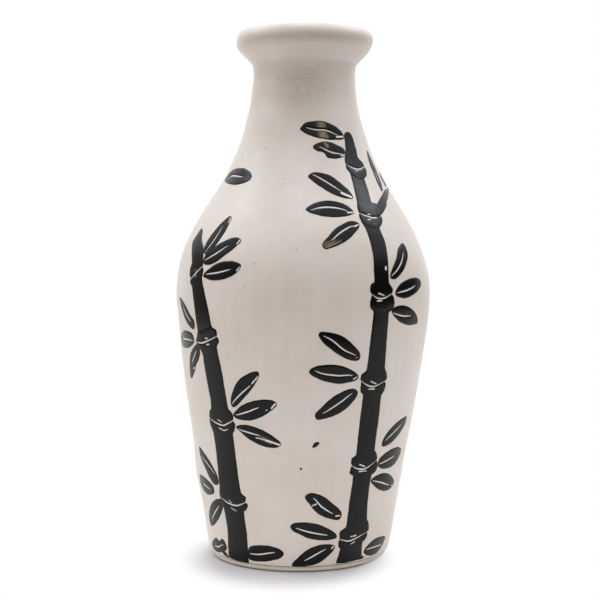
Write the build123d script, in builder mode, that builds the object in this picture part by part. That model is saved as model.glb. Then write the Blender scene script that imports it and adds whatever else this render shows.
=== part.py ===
from build123d import *
import os
from math import asin, cos, degrees, radians, sin
from typing import NamedTuple

# Hand-built earthenware bottle vase with bamboo brushed on in raised black slip.
# The vase stands on its foot with +Z up. The origin is the centre of the foot's underside, and the front faces
# -Y. Five clay sections are luted together on keyed joints. The stalk and the leaves of each cane are thin coats
# of slip that stand on the clay. A bearing turns from the front towards +X. Millimetres and degrees.

# Heights of the clay sections, foot to lip
SLAB_EDGE_HEIGHT = 4.5
LOWER_HEIGHT = 194.5
SHOULDER_HEIGHT = 141.0
NECK_HEIGHT = 33.5
RIM_HEIGHT = 26.5

# Outside of the clay
HEEL_RADIUS = 69.0
BELLY_RADIUS = 96.7
NECK_RADIUS = 39.2
NECK_FLARE = 2.4  # how much wider the neck is where it meets the shoulder
RIM_OVERHANG = 13.0  # how far the lip stands out beyond the neck
SLAB_SETBACK = 1.4  # how far the slab's edge stays inside the heel
SLAB_ROUND = 2.0
SEAM_ROUND = 1.0  # softened edges on both sides of the seam above the slab

# Clay thicknesses and luted joints
WALL = 7.2
FLOOR_RISE = 5.5  # how far the slab's middle stands up inside the wall
KEY_HEIGHT = 4.0
KEY_WIDTH = 2.4
LUTING_GAP = 0.3

# Black slip
COAT = 0.45
BOND_GAP = 0.15
CULM_WIDTH = 20.5  # stalk width at the foot
SCRATCH_WIDTH = 1.3
LEAF_LENGTH = 34.0
LEAF_WIDTH = 12.5
VEIN_WIDTH = 1.2
FLECK_LENGTH = 5.0
OVERRUN = 2.0
SKIN_SWEEP = 200.0  # angle around a cane that its coats are cut from

# Shape of the clay outline, as shares of the section that each value follows
LOWER_RING_SHARE = (0.555, 0.49)  # way out from heel to belly, way up the section
SHOULDER_RING_SHARES = ((0.155, 0.29), (0.60, 0.59), (0.83, 0.77))  # way in from belly to neck, way up
HEEL_LEAN_SHARE = 0.16  # outward run for each unit of rise
NECK_LEAN_SHARE = 0.22  # inward run for each unit of rise
RIM_RING_SHARES = ((0.52, 0.24), (1.0, 0.67), (0.46, 1.0))  # way out from neck to lip, way up the rim
MOUTH_RING_SHARES = ((0.35, 0.66), (0.02, 0.2))  # way out from bore to the lip's crest, way up the rim

# Brush work, as shares of the stalk's width or of a leaf's length and width
CULM_TAPER_SHARE = 0.48  # width lost over the painted height
RING_HEIGHT_SHARE = 0.52  # height of one of a knuckle's two rings
SCRATCH_SAG_SHARE = 0.16
SCRATCH_SPAN_SHARE = 0.85
BRANCH_SHARES = ((0.30, -0.05), (1.22, 0.36), (1.70, 1.12), (1.06, 0.52), (0.30, 0.30))  # right, up
LEAF_BASE_SHARES = (0.12, 0.66)  # first handle of a leaf's edge
LEAF_TIP_SHARES = (0.82, 0.70)  # second handle of a leaf's edge
VEIN_SHARES = (0.16, 0.06, 0.80)  # start, bow and end along a leaf
FLECK_SHARES = ((7.2, 0.248, 45.0, 1.0), (0.3, 0.200, 0.0, 0.36))  # bearing, height share, tilt, length share
FLECK_WIDTH_SHARE = 0.55

# Stalks from the foot to the pointed tip: height share, bearing, and ring width as a share of the stalk's,
# where 0 is a plain bend and 1 is a scratched line without rings
FRONT_LEFT_STALK_SHARES = (
    (0.0, -40.0, 0), (0.119, -40.8, 1.36), (0.278, -42.4, 1.36), (0.444, -45.9, 1.36),
    (0.578, -53.5, 1), (0.621, -58.0, 0), (0.663, -63.5, 0),
)
FRONT_RIGHT_STALK_SHARES = (
    (0.0, 32.5, 0), (0.047, 33.4, 1.36), (0.191, 34.6, 1.36), (0.358, 34.4, 1.42), (0.531, 35.6, 1.42),
    (0.622, 36.9, 0), (0.685, 37.9, 1.36), (0.784, 41.2, 1.30), (0.842, 42.6, 0), (0.860, 43.2, 0),
)
BACK_LEFT_STALK_SHARES = (
    (0.0, -128.0, 0), (0.085, -127.0, 1.36), (0.24, -124.0, 1.36), (0.39, -119.5, 1.42), (0.535, -114.5, 1.36),
    (0.66, -109.5, 1.36), (0.745, -104.5, 1.30), (0.78, -102.0, 0), (0.80, -100.5, 0),
)
BACK_RIGHT_STALK_SHARES = (
    (0.0, 128.0, 0), (0.075, 128.5, 1.36), (0.225, 130.0, 1.36), (0.375, 131.5, 1.42), (0.52, 133.0, 1.36),
    (0.655, 136.0, 1.36), (0.76, 139.5, 1.30), (0.80, 140.7, 0), (0.82, 141.3, 0),
)

# Leaves: height share of the base, gap from the stalk's edge in stalk widths (negative to the left), tilt and
# length share
FRONT_LEFT_LEAF_SHARES = (
    (0.616, 0.10, 62.0, 0.87), (0.593, 0.10, 33.0, 1.00), (0.567, 0.12, 14.0, 1.00),
    (0.467, -0.23, 138.0, 0.95), (0.441, -0.35, 178.0, 0.68), (0.430, -0.22, 240.0, 0.87),
    (0.318, 0.24, 47.0, 1.04), (0.298, 0.26, 18.0, 1.06), (0.277, 0.27, -20.0, 1.04),
    (0.155, -0.20, 135.0, 1.01), (0.130, -0.50, 164.0, 0.93), (0.115, -0.26, 229.0, 0.96),
    (0.021, 0.10, 4.0, 0.80), (0.018, -0.16, 173.0, 0.61),
)
FRONT_RIGHT_LEAF_SHARES = (
    (0.846, -0.08, 168.0, 0.92), (0.808, -0.10, 163.0, 0.71), (0.723, -0.22, 147.0, 0.95),
    (0.695, -0.32, 176.0, 1.00), (0.670, -0.24, 208.0, 1.05), (0.737, 0.92, 80.0, 0.94),
    (0.568, 0.12, 48.0, 0.95), (0.538, 0.30, 13.0, 1.04), (0.502, 0.18, -16.0, 1.00),
    (0.415, -0.30, 150.0, 1.07), (0.377, -0.28, 171.0, 1.06), (0.350, -0.25, 214.0, 1.01),
    (0.235, 0.32, 31.0, 1.01), (0.189, 0.25, 21.0, 0.91), (0.158, 0.10, -16.0, 0.92),
    (0.093, -0.18, 144.0, 1.01), (0.060, -0.26, 165.0, 1.02), (0.037, -0.28, 204.0, 0.98),
    (0.013, 0.10, 16.0, 0.84),
)
BACK_LEFT_LEAF_SHARES = (
    (0.762, 1.38, 4.0, 1.03), (0.766, -0.24, 148.0, 0.92), (0.735, -0.26, 174.0, 0.98),
    (0.706, -0.24, 212.0, 0.90),
    (0.560, -0.24, 140.0, 0.98), (0.533, -0.28, 172.0, 1.04), (0.508, -0.24, 212.0, 0.96),
    (0.418, 0.24, 42.0, 0.98), (0.392, 0.28, 12.0, 1.02), (0.364, 0.24, -24.0, 1.00),
    (0.266, -0.24, 145.0, 1.02), (0.240, -0.28, 170.0, 1.00), (0.212, -0.24, 215.0, 0.98),
    (0.110, 0.24, 38.0, 0.96), (0.084, 0.28, 8.0, 0.92), (0.040, -0.14, 160.0, 0.84),
)
BACK_RIGHT_LEAF_SHARES = (
    (0.806, -0.12, 158.0, 0.90), (0.782, 0.24, 35.0, 0.86), (0.757, 0.26, 6.0, 0.94),
    (0.684, -0.24, 142.0, 0.96), (0.655, -0.28, 173.0, 1.02), (0.626, -0.24, 211.0, 0.98),
    (0.546, 0.24, 44.0, 1.00), (0.520, 0.28, 15.0, 1.04), (0.492, 0.24, -18.0, 0.98),
    (0.402, -0.24, 146.0, 1.04), (0.374, -0.28, 168.0, 1.02), (0.348, -0.24, 216.0, 1.00),
    (0.252, 0.24, 36.0, 1.00), (0.225, 0.28, 12.0, 0.94), (0.104, -0.24, 140.0, 0.98),
    (0.074, -0.28, 170.0, 1.00), (0.030, 0.16, 14.0, 0.84),
)


class Cane(NamedTuple):
    """A painted cane: the bearing its stalk is drawn from, its stalk, its leaves and its branching knuckle."""

    facing: float
    stalk_shares: tuple
    leaf_shares: tuple
    branch_share: float = None  # height share of the knuckle that carries a side branch


CANES = {
    "front_left": Cane(-50.0, FRONT_LEFT_STALK_SHARES, FRONT_LEFT_LEAF_SHARES),
    "front_right": Cane(37.0, FRONT_RIGHT_STALK_SHARES, FRONT_RIGHT_LEAF_SHARES, branch_share=0.685),
    "back_left": Cane(-112.0, BACK_LEFT_STALK_SHARES, BACK_LEFT_LEAF_SHARES),
    "back_right": Cane(134.0, BACK_RIGHT_STALK_SHARES, BACK_RIGHT_LEAF_SHARES),
}

# Levels above the foot's underside
HEEL_LEVEL = SLAB_EDGE_HEIGHT
BELLY_LEVEL = HEEL_LEVEL + LOWER_HEIGHT
COLLAR_LEVEL = BELLY_LEVEL + SHOULDER_HEIGHT
CREASE_LEVEL = COLLAR_LEVEL + NECK_HEIGHT
PAINT_LEVEL = HEEL_LEVEL + SEAM_ROUND
PAINTED_HEIGHT = CREASE_LEVEL - PAINT_LEVEL

# Radii that follow from the walls
BORE_RADIUS = NECK_RADIUS - WALL
COLLAR_RADIUS = NECK_RADIUS + NECK_FLARE
PAINT_REACH = BELLY_RADIUS + BOND_GAP + COAT + OVERRUN

os.makedirs("parts", exist_ok=True)


def lower_side(inset):
    """Draw the side of the lower section, heel to belly, set in from the outside."""
    out_share, up_share = LOWER_RING_SHARE
    ring_radius = HEEL_RADIUS + out_share * (BELLY_RADIUS - HEEL_RADIUS)
    return Spline(
        (HEEL_RADIUS - inset, HEEL_LEVEL),
        (ring_radius - inset, HEEL_LEVEL + up_share * LOWER_HEIGHT),
        (BELLY_RADIUS - inset, BELLY_LEVEL),
        tangents=((HEEL_LEAN_SHARE, 1), (0, 1)),
    )


def shoulder_side(inset, top_radius, lean_share):
    """Draw the side of the shoulder, belly to neck, set in from the outside."""
    belly_radius = BELLY_RADIUS - inset
    closing = BELLY_RADIUS - COLLAR_RADIUS
    rings = [
        (belly_radius - in_share * closing, BELLY_LEVEL + up_share * SHOULDER_HEIGHT)
        for in_share, up_share in SHOULDER_RING_SHARES
    ]
    return Spline(
        (belly_radius, BELLY_LEVEL),
        *rings,
        (top_radius, COLLAR_LEVEL),
        tangents=((0, 1), (-lean_share, 1)),
    )


def collar_side(inset):
    """Draw the outside of the neck, shoulder to lip, set in from the outside."""
    return Spline(
        (COLLAR_RADIUS - inset, COLLAR_LEVEL),
        (NECK_RADIUS - inset, CREASE_LEVEL),
        tangents=((-NECK_LEAN_SHARE, 1), (0, 1)),
    )


def outside(growth):
    """Draw the whole painted outside, heel to lip, grown outwards."""
    lower = lower_side(-growth)
    shoulder_side(-growth, COLLAR_RADIUS + growth, NECK_LEAN_SHARE)
    collar = collar_side(-growth)
    return lower @ 0, collar @ 1


def key_section(outer_radius, inner_radius, level, gap, mode):
    """Draw the ridge that keys a luted joint, or its groove with a gap all round."""
    with Locations(((outer_radius + inner_radius) / 2, level)):
        Rectangle(KEY_WIDTH + 2 * gap, KEY_HEIGHT + gap, align=(Align.CENTER, Align.MIN), mode=mode)


def at_level(part, level):
    """Find a part's circular edges at a level, smallest first."""
    edges = part.edges().filter_by(GeomType.CIRCLE)
    return edges.filter_by_position(Axis.Z, level, level).sort_by(SortBy.RADIUS)


# Foot slab: a disc whose middle stands up inside the wall
with BuildPart() as foot_slab:
    with BuildSketch(Plane.XY):
        Circle(HEEL_RADIUS - SLAB_SETBACK)
    extrude(amount=SLAB_EDGE_HEIGHT)
    fillet(at_level(foot_slab, 0)[-1], SLAB_ROUND)
    fillet(at_level(foot_slab, SLAB_EDGE_HEIGHT)[-1], SEAM_ROUND)
    with BuildSketch(Plane.XY.offset(SLAB_EDGE_HEIGHT)):
        Circle(HEEL_RADIUS - WALL - LUTING_GAP)
    extrude(amount=FLOOR_RISE)
foot_slab.part.label = "foot_slab"
export_step(foot_slab.part, "parts/foot_slab.step")

# Lower wall: heel to belly, with a ridge on its upper edge
with BuildPart() as lower_wall:
    with BuildSketch(Plane.XZ):
        with BuildLine():
            outer = lower_side(0)
            inner = lower_side(WALL)
            Line(outer @ 0, inner @ 0)
            Line(outer @ 1, inner @ 1)
        make_face()
        key_section(BELLY_RADIUS, BELLY_RADIUS - WALL, BELLY_LEVEL, 0, Mode.ADD)
    revolve(axis=Axis.Z)
    fillet(at_level(lower_wall, HEEL_LEVEL)[-1], SEAM_ROUND)
lower_wall.part.label = "lower_wall"
export_step(lower_wall.part, "parts/lower_wall.step")

# Shoulder wall: belly to neck, grooved below and ridged above
with BuildPart() as shoulder_wall:
    with BuildSketch(Plane.XZ):
        with BuildLine():
            outer = shoulder_side(0, COLLAR_RADIUS, NECK_LEAN_SHARE)
            inner = shoulder_side(WALL, BORE_RADIUS, 0)
            Line(outer @ 0, inner @ 0)
            Line(outer @ 1, inner @ 1)
        make_face()
        key_section(BELLY_RADIUS, BELLY_RADIUS - WALL, BELLY_LEVEL, LUTING_GAP, Mode.SUBTRACT)
        key_section(COLLAR_RADIUS, BORE_RADIUS, COLLAR_LEVEL, 0, Mode.ADD)
    revolve(axis=Axis.Z)
shoulder_wall.part.label = "shoulder_wall"
export_step(shoulder_wall.part, "parts/shoulder_wall.step")

# Neck collar: straight bore, slightly waisted outside
with BuildPart() as neck_collar:
    with BuildSketch(Plane.XZ):
        with BuildLine():
            outer = collar_side(0)
            Polyline(outer @ 1, (BORE_RADIUS, CREASE_LEVEL), (BORE_RADIUS, COLLAR_LEVEL), outer @ 0)
        make_face()
        key_section(COLLAR_RADIUS, BORE_RADIUS, COLLAR_LEVEL, LUTING_GAP, Mode.SUBTRACT)
        key_section(NECK_RADIUS, BORE_RADIUS, CREASE_LEVEL, 0, Mode.ADD)
    revolve(axis=Axis.Z)
neck_collar.part.label = "neck_collar"
export_step(neck_collar.part, "parts/neck_collar.step")

# Rim roll: thick lip over a slanted underside, with a flared mouth
with BuildPart() as rim_roll:
    with BuildSketch(Plane.XZ):
        lip = [
            (NECK_RADIUS + out_share * RIM_OVERHANG, CREASE_LEVEL + up_share * RIM_HEIGHT)
            for out_share, up_share in RIM_RING_SHARES
        ]
        crest_radius = lip[-1][0]
        mouth = [
            (BORE_RADIUS + out_share * (crest_radius - BORE_RADIUS), CREASE_LEVEL + up_share * RIM_HEIGHT)
            for out_share, up_share in MOUTH_RING_SHARES
        ]
        with BuildLine():
            Spline((NECK_RADIUS, CREASE_LEVEL), *lip, tangents=((1, 1), (-1, 0)))
            Spline(lip[-1], *mouth, (BORE_RADIUS, CREASE_LEVEL), tangents=((-1, 0), (0, -1)))
            Line((BORE_RADIUS, CREASE_LEVEL), (NECK_RADIUS, CREASE_LEVEL))
        make_face()
        key_section(NECK_RADIUS, BORE_RADIUS, CREASE_LEVEL, LUTING_GAP, Mode.SUBTRACT)
    revolve(axis=Axis.Z)
rim_roll.part.label = "rim_roll"
export_step(rim_roll.part, "parts/rim_roll.step")

# Outside line of the clay, which the brush strokes follow
with BuildLine() as outside_line:
    outside(0)


def paint_level(share):
    """Level of a share of the painted height."""
    return PAINT_LEVEL + share * PAINTED_HEIGHT


def wall_radius(level):
    """Outside radius of the clay at a level."""
    cut = Axis((0, level, 0), (1, 0, 0))
    return max(point.X for edge in outside_line.edges() for point in edge.find_intersection_points(cut))


def facing_plane(bearing, level, tilt=0):
    """Plane through the axis that faces outwards at a bearing, with its x tilted up from the right."""
    turn = radians(bearing)
    rise = radians(tilt)
    return Plane(
        origin=(0, 0, level),
        x_dir=(cos(turn) * cos(rise), sin(turn) * cos(rise), sin(rise)),
        z_dir=(sin(turn), -cos(turn), 0),
    )


def slip_skin(bearing):
    """Make the skin of slip around a bearing, which brush strokes are cut from."""
    first_edge = bearing - SKIN_SWEEP / 2
    with BuildPart() as skin:
        with BuildSketch(facing_plane(first_edge - 90, 0)):
            with BuildLine():
                inner_foot, inner_top = outside(BOND_GAP)
                outer_foot, outer_top = outside(BOND_GAP + COAT)
                Line(inner_foot, outer_foot)
                Line(inner_top, outer_top)
            make_face()
            with Locations((HEEL_RADIUS, PAINT_LEVEL)):
                Rectangle(WALL, SLAB_EDGE_HEIGHT, align=(Align.CENTER, Align.MAX), mode=Mode.SUBTRACT)
        revolve(axis=Axis.Z, revolution_arc=SKIN_SWEEP)
    return skin.part


def culm_width(share):
    """Width of a stalk at a share of the painted height."""
    return CULM_WIDTH * (1 - CULM_TAPER_SHARE * share)


def culm_bearing(cane, share):
    """Bearing of a stalk's middle line at a share of the painted height."""
    for low, high in zip(cane.stalk_shares, cane.stalk_shares[1:]):
        if share <= high[0]:
            break
    return low[1] + (high[1] - low[1]) * (share - low[0]) / (high[0] - low[0])


def culm_middle(cane, share):
    """Place of a stalk's middle line in the plane that the stalk is drawn on."""
    level = paint_level(share)
    return wall_radius(level) * sin(radians(culm_bearing(cane, share) - cane.facing)), level


def leaf_film(cane, skin, share, gap_share, tilt, length_share):
    """Make one leaf, with its vein scratched out, as a coat on the wall."""
    length = length_share * LEAF_LENGTH
    level = paint_level(share)
    away = culm_width(share) / 2 + abs(gap_share) * CULM_WIDTH
    turn = degrees(asin(away / wall_radius(level)))
    bearing = culm_bearing(cane, share) + (turn if gap_share > 0 else -turn)
    vein_start, vein_bow, vein_end = (vein_share * length for vein_share in VEIN_SHARES)
    leaf_plane = facing_plane(bearing, level, tilt)
    with BuildPart() as leaf:
        with BuildSketch(leaf_plane):
            with BuildLine():
                Bezier(
                    (0, 0),
                    (LEAF_BASE_SHARES[0] * length, LEAF_BASE_SHARES[1] * LEAF_WIDTH),
                    (LEAF_TIP_SHARES[0] * length, LEAF_TIP_SHARES[1] * LEAF_WIDTH),
                    (length, 0),
                )
                mirror(about=Plane.XZ)
            make_face()
        extrude(amount=PAINT_REACH)
        add(skin, mode=Mode.INTERSECT)
        with BuildSketch(leaf_plane):
            with BuildLine(mode=Mode.PRIVATE) as vein:
                ThreePointArc((vein_start, 0), ((vein_start + vein_end) / 2, vein_bow), (vein_end, 0))
            SlotArc(vein.wire(), VEIN_WIDTH)
        extrude(amount=PAINT_REACH, mode=Mode.SUBTRACT)
    return leaf.part


# Stalks: brushed from foot to tip, with a pair of rings and a scratched line at each knuckle
for cane_name, cane in CANES.items():
    culm_plane = facing_plane(cane.facing, 0)
    *stations, (tip_share, _, _) = cane.stalk_shares
    middles = [(*culm_middle(cane, share), culm_width(share)) for share, _, _ in stations]
    knuckles = [
        (x, y, width, share, swell_share)
        for (x, y, width), (share, _, swell_share) in zip(middles, stations)
        if swell_share > 0
    ]
    with BuildPart() as culm:
        with BuildSketch(culm_plane):
            with BuildLine():
                Polyline(
                    *[(x - width / 2, y) for x, y, width in middles],
                    culm_middle(cane, tip_share),
                    *[(x + width / 2, y) for x, y, width in reversed(middles)],
                    close=True,
                )
            make_face()
            for x, y, width, share, swell_share in knuckles:
                ring_height = RING_HEIGHT_SHARE * width
                if swell_share > 1:
                    with Locations((x, y - ring_height / 2), (x, y + ring_height / 2)):
                        SlotOverall(swell_share * width, ring_height)
                if share == cane.branch_share:
                    foot, outer, tip, inner, root = (
                        (x + right_share * CULM_WIDTH, y + up_share * CULM_WIDTH)
                        for right_share, up_share in BRANCH_SHARES
                    )
                    with BuildLine():
                        ThreePointArc(foot, outer, tip)
                        ThreePointArc(tip, inner, root)
                        Line(root, foot)
                    make_face()
        extrude(amount=PAINT_REACH)
        add(slip_skin(cane.facing), mode=Mode.INTERSECT)
        with BuildSketch(culm_plane):
            for x, y, width, _, _ in knuckles:
                half_span = SCRATCH_SPAN_SHARE * width
                sag = SCRATCH_SAG_SHARE * width
                with BuildLine(mode=Mode.PRIVATE) as scratch:
                    ThreePointArc((x - half_span, y + sag), (x, y - sag), (x + half_span, y + sag))
                SlotArc(scratch.wire(), SCRATCH_WIDTH)
        extrude(amount=PAINT_REACH, mode=Mode.SUBTRACT)
    culm.part.label = f"{cane_name}_culm"
    export_step(culm.part, f"parts/{cane_name}_culm.step")

# Leaves: one short stroke each, grouped by cane
for cane_name, cane in CANES.items():
    skin = slip_skin(cane.facing)
    leaf_films = [leaf_film(cane, skin, *leaf_shares) for leaf_shares in cane.leaf_shares]
    with BuildPart() as leaves:
        add(leaf_films)
    leaves.part.label = f"{cane_name}_leaves"
    export_step(leaves.part, f"parts/{cane_name}_leaves.step")

# Flecks: stray drops of slip on the front
fleck_films = []
for bearing, height_share, tilt, length_share in FLECK_SHARES:
    fleck_length = length_share * FLECK_LENGTH
    with BuildPart() as fleck:
        with BuildSketch(facing_plane(bearing, paint_level(height_share), tilt)):
            Ellipse(fleck_length / 2, FLECK_WIDTH_SHARE * fleck_length / 2)
        extrude(amount=PAINT_REACH)
        add(slip_skin(bearing), mode=Mode.INTERSECT)
    fleck_films.append(fleck.part)
with BuildPart() as slip_flecks:
    add(fleck_films)
slip_flecks.part.label = "slip_flecks"
export_step(slip_flecks.part, "parts/slip_flecks.step")
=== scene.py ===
"""Bottle vase in off-white painted earthenware, with bamboo canes brushed on in raised black slip."""

import math
from typing import NamedTuple

import bmesh
import bpy
from bpy.props import FloatProperty, FloatVectorProperty, IntProperty, PointerProperty
from mathutils import Matrix, Vector, noise
from mathutils.geometry import interpolate_bezier


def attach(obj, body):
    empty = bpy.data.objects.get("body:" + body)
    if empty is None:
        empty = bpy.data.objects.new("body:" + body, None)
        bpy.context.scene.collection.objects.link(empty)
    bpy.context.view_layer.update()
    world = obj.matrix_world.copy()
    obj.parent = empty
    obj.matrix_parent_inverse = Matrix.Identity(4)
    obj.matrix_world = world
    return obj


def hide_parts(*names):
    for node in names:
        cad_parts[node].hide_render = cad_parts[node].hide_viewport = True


bl_info = {
    "name": "Bamboo bottle vase",
    "version": (1, 0, 0),
    "blender": (4, 5, 0),
    "location": "3D View > Sidebar > Vase",
    "description": "Dresses the packed bottle vase in painted clay and black slip",
    "category": "Object",
}

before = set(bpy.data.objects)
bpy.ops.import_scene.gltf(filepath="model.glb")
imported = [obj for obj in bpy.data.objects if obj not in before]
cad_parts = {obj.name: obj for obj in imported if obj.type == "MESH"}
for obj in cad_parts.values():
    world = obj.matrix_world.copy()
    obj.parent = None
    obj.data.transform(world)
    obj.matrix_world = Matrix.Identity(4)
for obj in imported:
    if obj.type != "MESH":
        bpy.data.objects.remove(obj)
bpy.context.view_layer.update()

MM = 0.001
BODY = "root"
CLAY_NODES = ("foot_slab", "lower_wall", "shoulder_wall", "neck_collar", "rim_roll")
PAINTED_NODES = ("lower_wall", "shoulder_wall", "neck_collar")

# Camera of the photograph: 600 pixels square, a long lens a metre away, looking slightly down
PHOTO_PIXELS = 600
FOCAL_PIXELS = 1319.4
SENSOR_WIDTH = 36.0
CAMERA_PLACE = Vector((0.0, -1.015, 0.253))
CAMERA_PITCH = math.radians(3.28)
CAMERA_YAW = math.radians(0.0955)
CAMERA_MATRIX = (
    Matrix.Translation(CAMERA_PLACE)
    @ Matrix.Rotation(CAMERA_YAW, 4, "Z")
    @ Matrix.Rotation(math.pi / 2 - CAMERA_PITCH, 4, "X")
)

# The hand-built vase leans a little to the right, around its middle
LEAN = 0.0095
LEAN_LEVEL = 195 * MM

# The lip: where it starts and how far it tips to the right
LIP_FOOT = 373.5 * MM
LIP_TILT = -0.003

# The clay smeared under the lip: its thickness, its reach below and above the corner, and the radius inside
# which there is none
LUTE = 2.8 * MM
LUTE_BELOW = 14 * MM
LUTE_ABOVE = 9.3 * MM
LUTE_INSIDE = 36 * MM

# Places where the hands pushed the wall in or out: amount in mm, bearing and spread in degrees, height and
# spread in mm
THUMB_MARKS = (
    (-1.9, -92, 34, 172, 30),
    (-0.6, -90, 34, 143, 14),
    (2.0, -92, 40, 58, 27),
    (1.0, -90, 34, 264, 18),
    (0.7, -90, 40, 331, 13),
    (-1.2, -90, 60, 366, 9),
    (-0.8, -90, 50, 391, 9),
    (1.5, 92, 34, 206, 24),
    (0.8, 90, 34, 255, 14),
    (-0.7, 90, 40, 140, 34),
    (-0.7, 90, 60, 368, 12),
    (0.5, 90, 50, 391, 8),
    (-0.4, 90, 50, 381, 6),
    (-1.0, -90, 50, 377, 5),
    (0.7, -90, 50, 387.5, 5),
    (-0.9, 90, 50, 388, 4.5),
    (0.5, 90, 34, 185, 15),
    (0.7, -90, 34, 301, 13),
    (0.5, 90, 34, 316, 12),
    (0.6, -90, 34, 196, 10),
    (0.5, -90, 40, 72, 16),
    (1.2, -58, 44, 10, 20),
    (-1.4, 60, 26, 2, 12),
)

# Unevenness all over the wall, in mm: ripples (amount, waves around, pitch, start), depth, spacing and
# fineness of dents, and the heights between which it sets in above the foot
RIPPLES = ((0.25, 3, 33, 0.0), (0.18, 5, -21, 1.3))
DENT_DEPTH = 0.4
DENT_SPACING = 40
DENT_FINENESS = 1.6
EVEN_FOOT = (3, 25)

# The shadow that stays on the white floor: its middle, and its reach to the sides and to the front
SHADOW_MIDDLE = Vector((-11, -20, 0)) * MM
SHADOW_REACH = Vector((78, 97, 100)) * MM

# Painted shade on the paint: bands around the wall (level, reach and amount) on the lip, strongest in
# front, and in the seam between the foot and the wall, and a patch on the front of the neck that is
# painted shade with a yellowish stain
LIP_SHADE = (389.5 * MM, 7 * MM, 0.42)
SEAM_SHADE = (4.5 * MM, 0.8 * MM, 0.9)
NECK_SHADE_AND_STAIN = Vector((-2, -40, 352)) * MM

# Dark specks in the paint, by the photograph's pixels
SPECKS = (
    (313.6, 67.9), (296.4, 86.1), (297.3, 89.9), (323.1, 88.4), (278.2, 78.8), (284.9, 178.9),
    (265.7, 148.3), (254.3, 263.1), (244.3, 287), (296.4, 249.1), (363.3, 247.8), (227.7, 357.7),
)

# Painted part of the wall, foot to lip
PAINT_FOOT = 5.5 * MM
PAINT_HEIGHT = 368.0 * MM


class Leaf(NamedTuple):
    """One brushed leaf, by the photograph's pixels: its two ends, both edges and the scratched vein from base
    to tip, the strokes where the slip is rubbed off (from, to, width in mm) and those where a lamp's golden
    sheen on the slip is painted in as a brownish highlight (from, to, reach in pixels)."""

    base: tuple
    tip: tuple
    above: tuple
    below: tuple
    vein: tuple = ()
    bare: tuple = ()
    painted_sheen: tuple = ()


class Joint(NamedTuple):
    """One length of a stalk between two scratched lines, by the photograph's pixels: its edges on the way
    from the lower line to the upper one, and the small ticks scratched beside the lines (from, to, width
    in mm)."""

    left: tuple
    right: tuple
    bare: tuple = ()
    rings: tuple = (True, True)  # raised ring at the foot, and at the head


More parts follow.
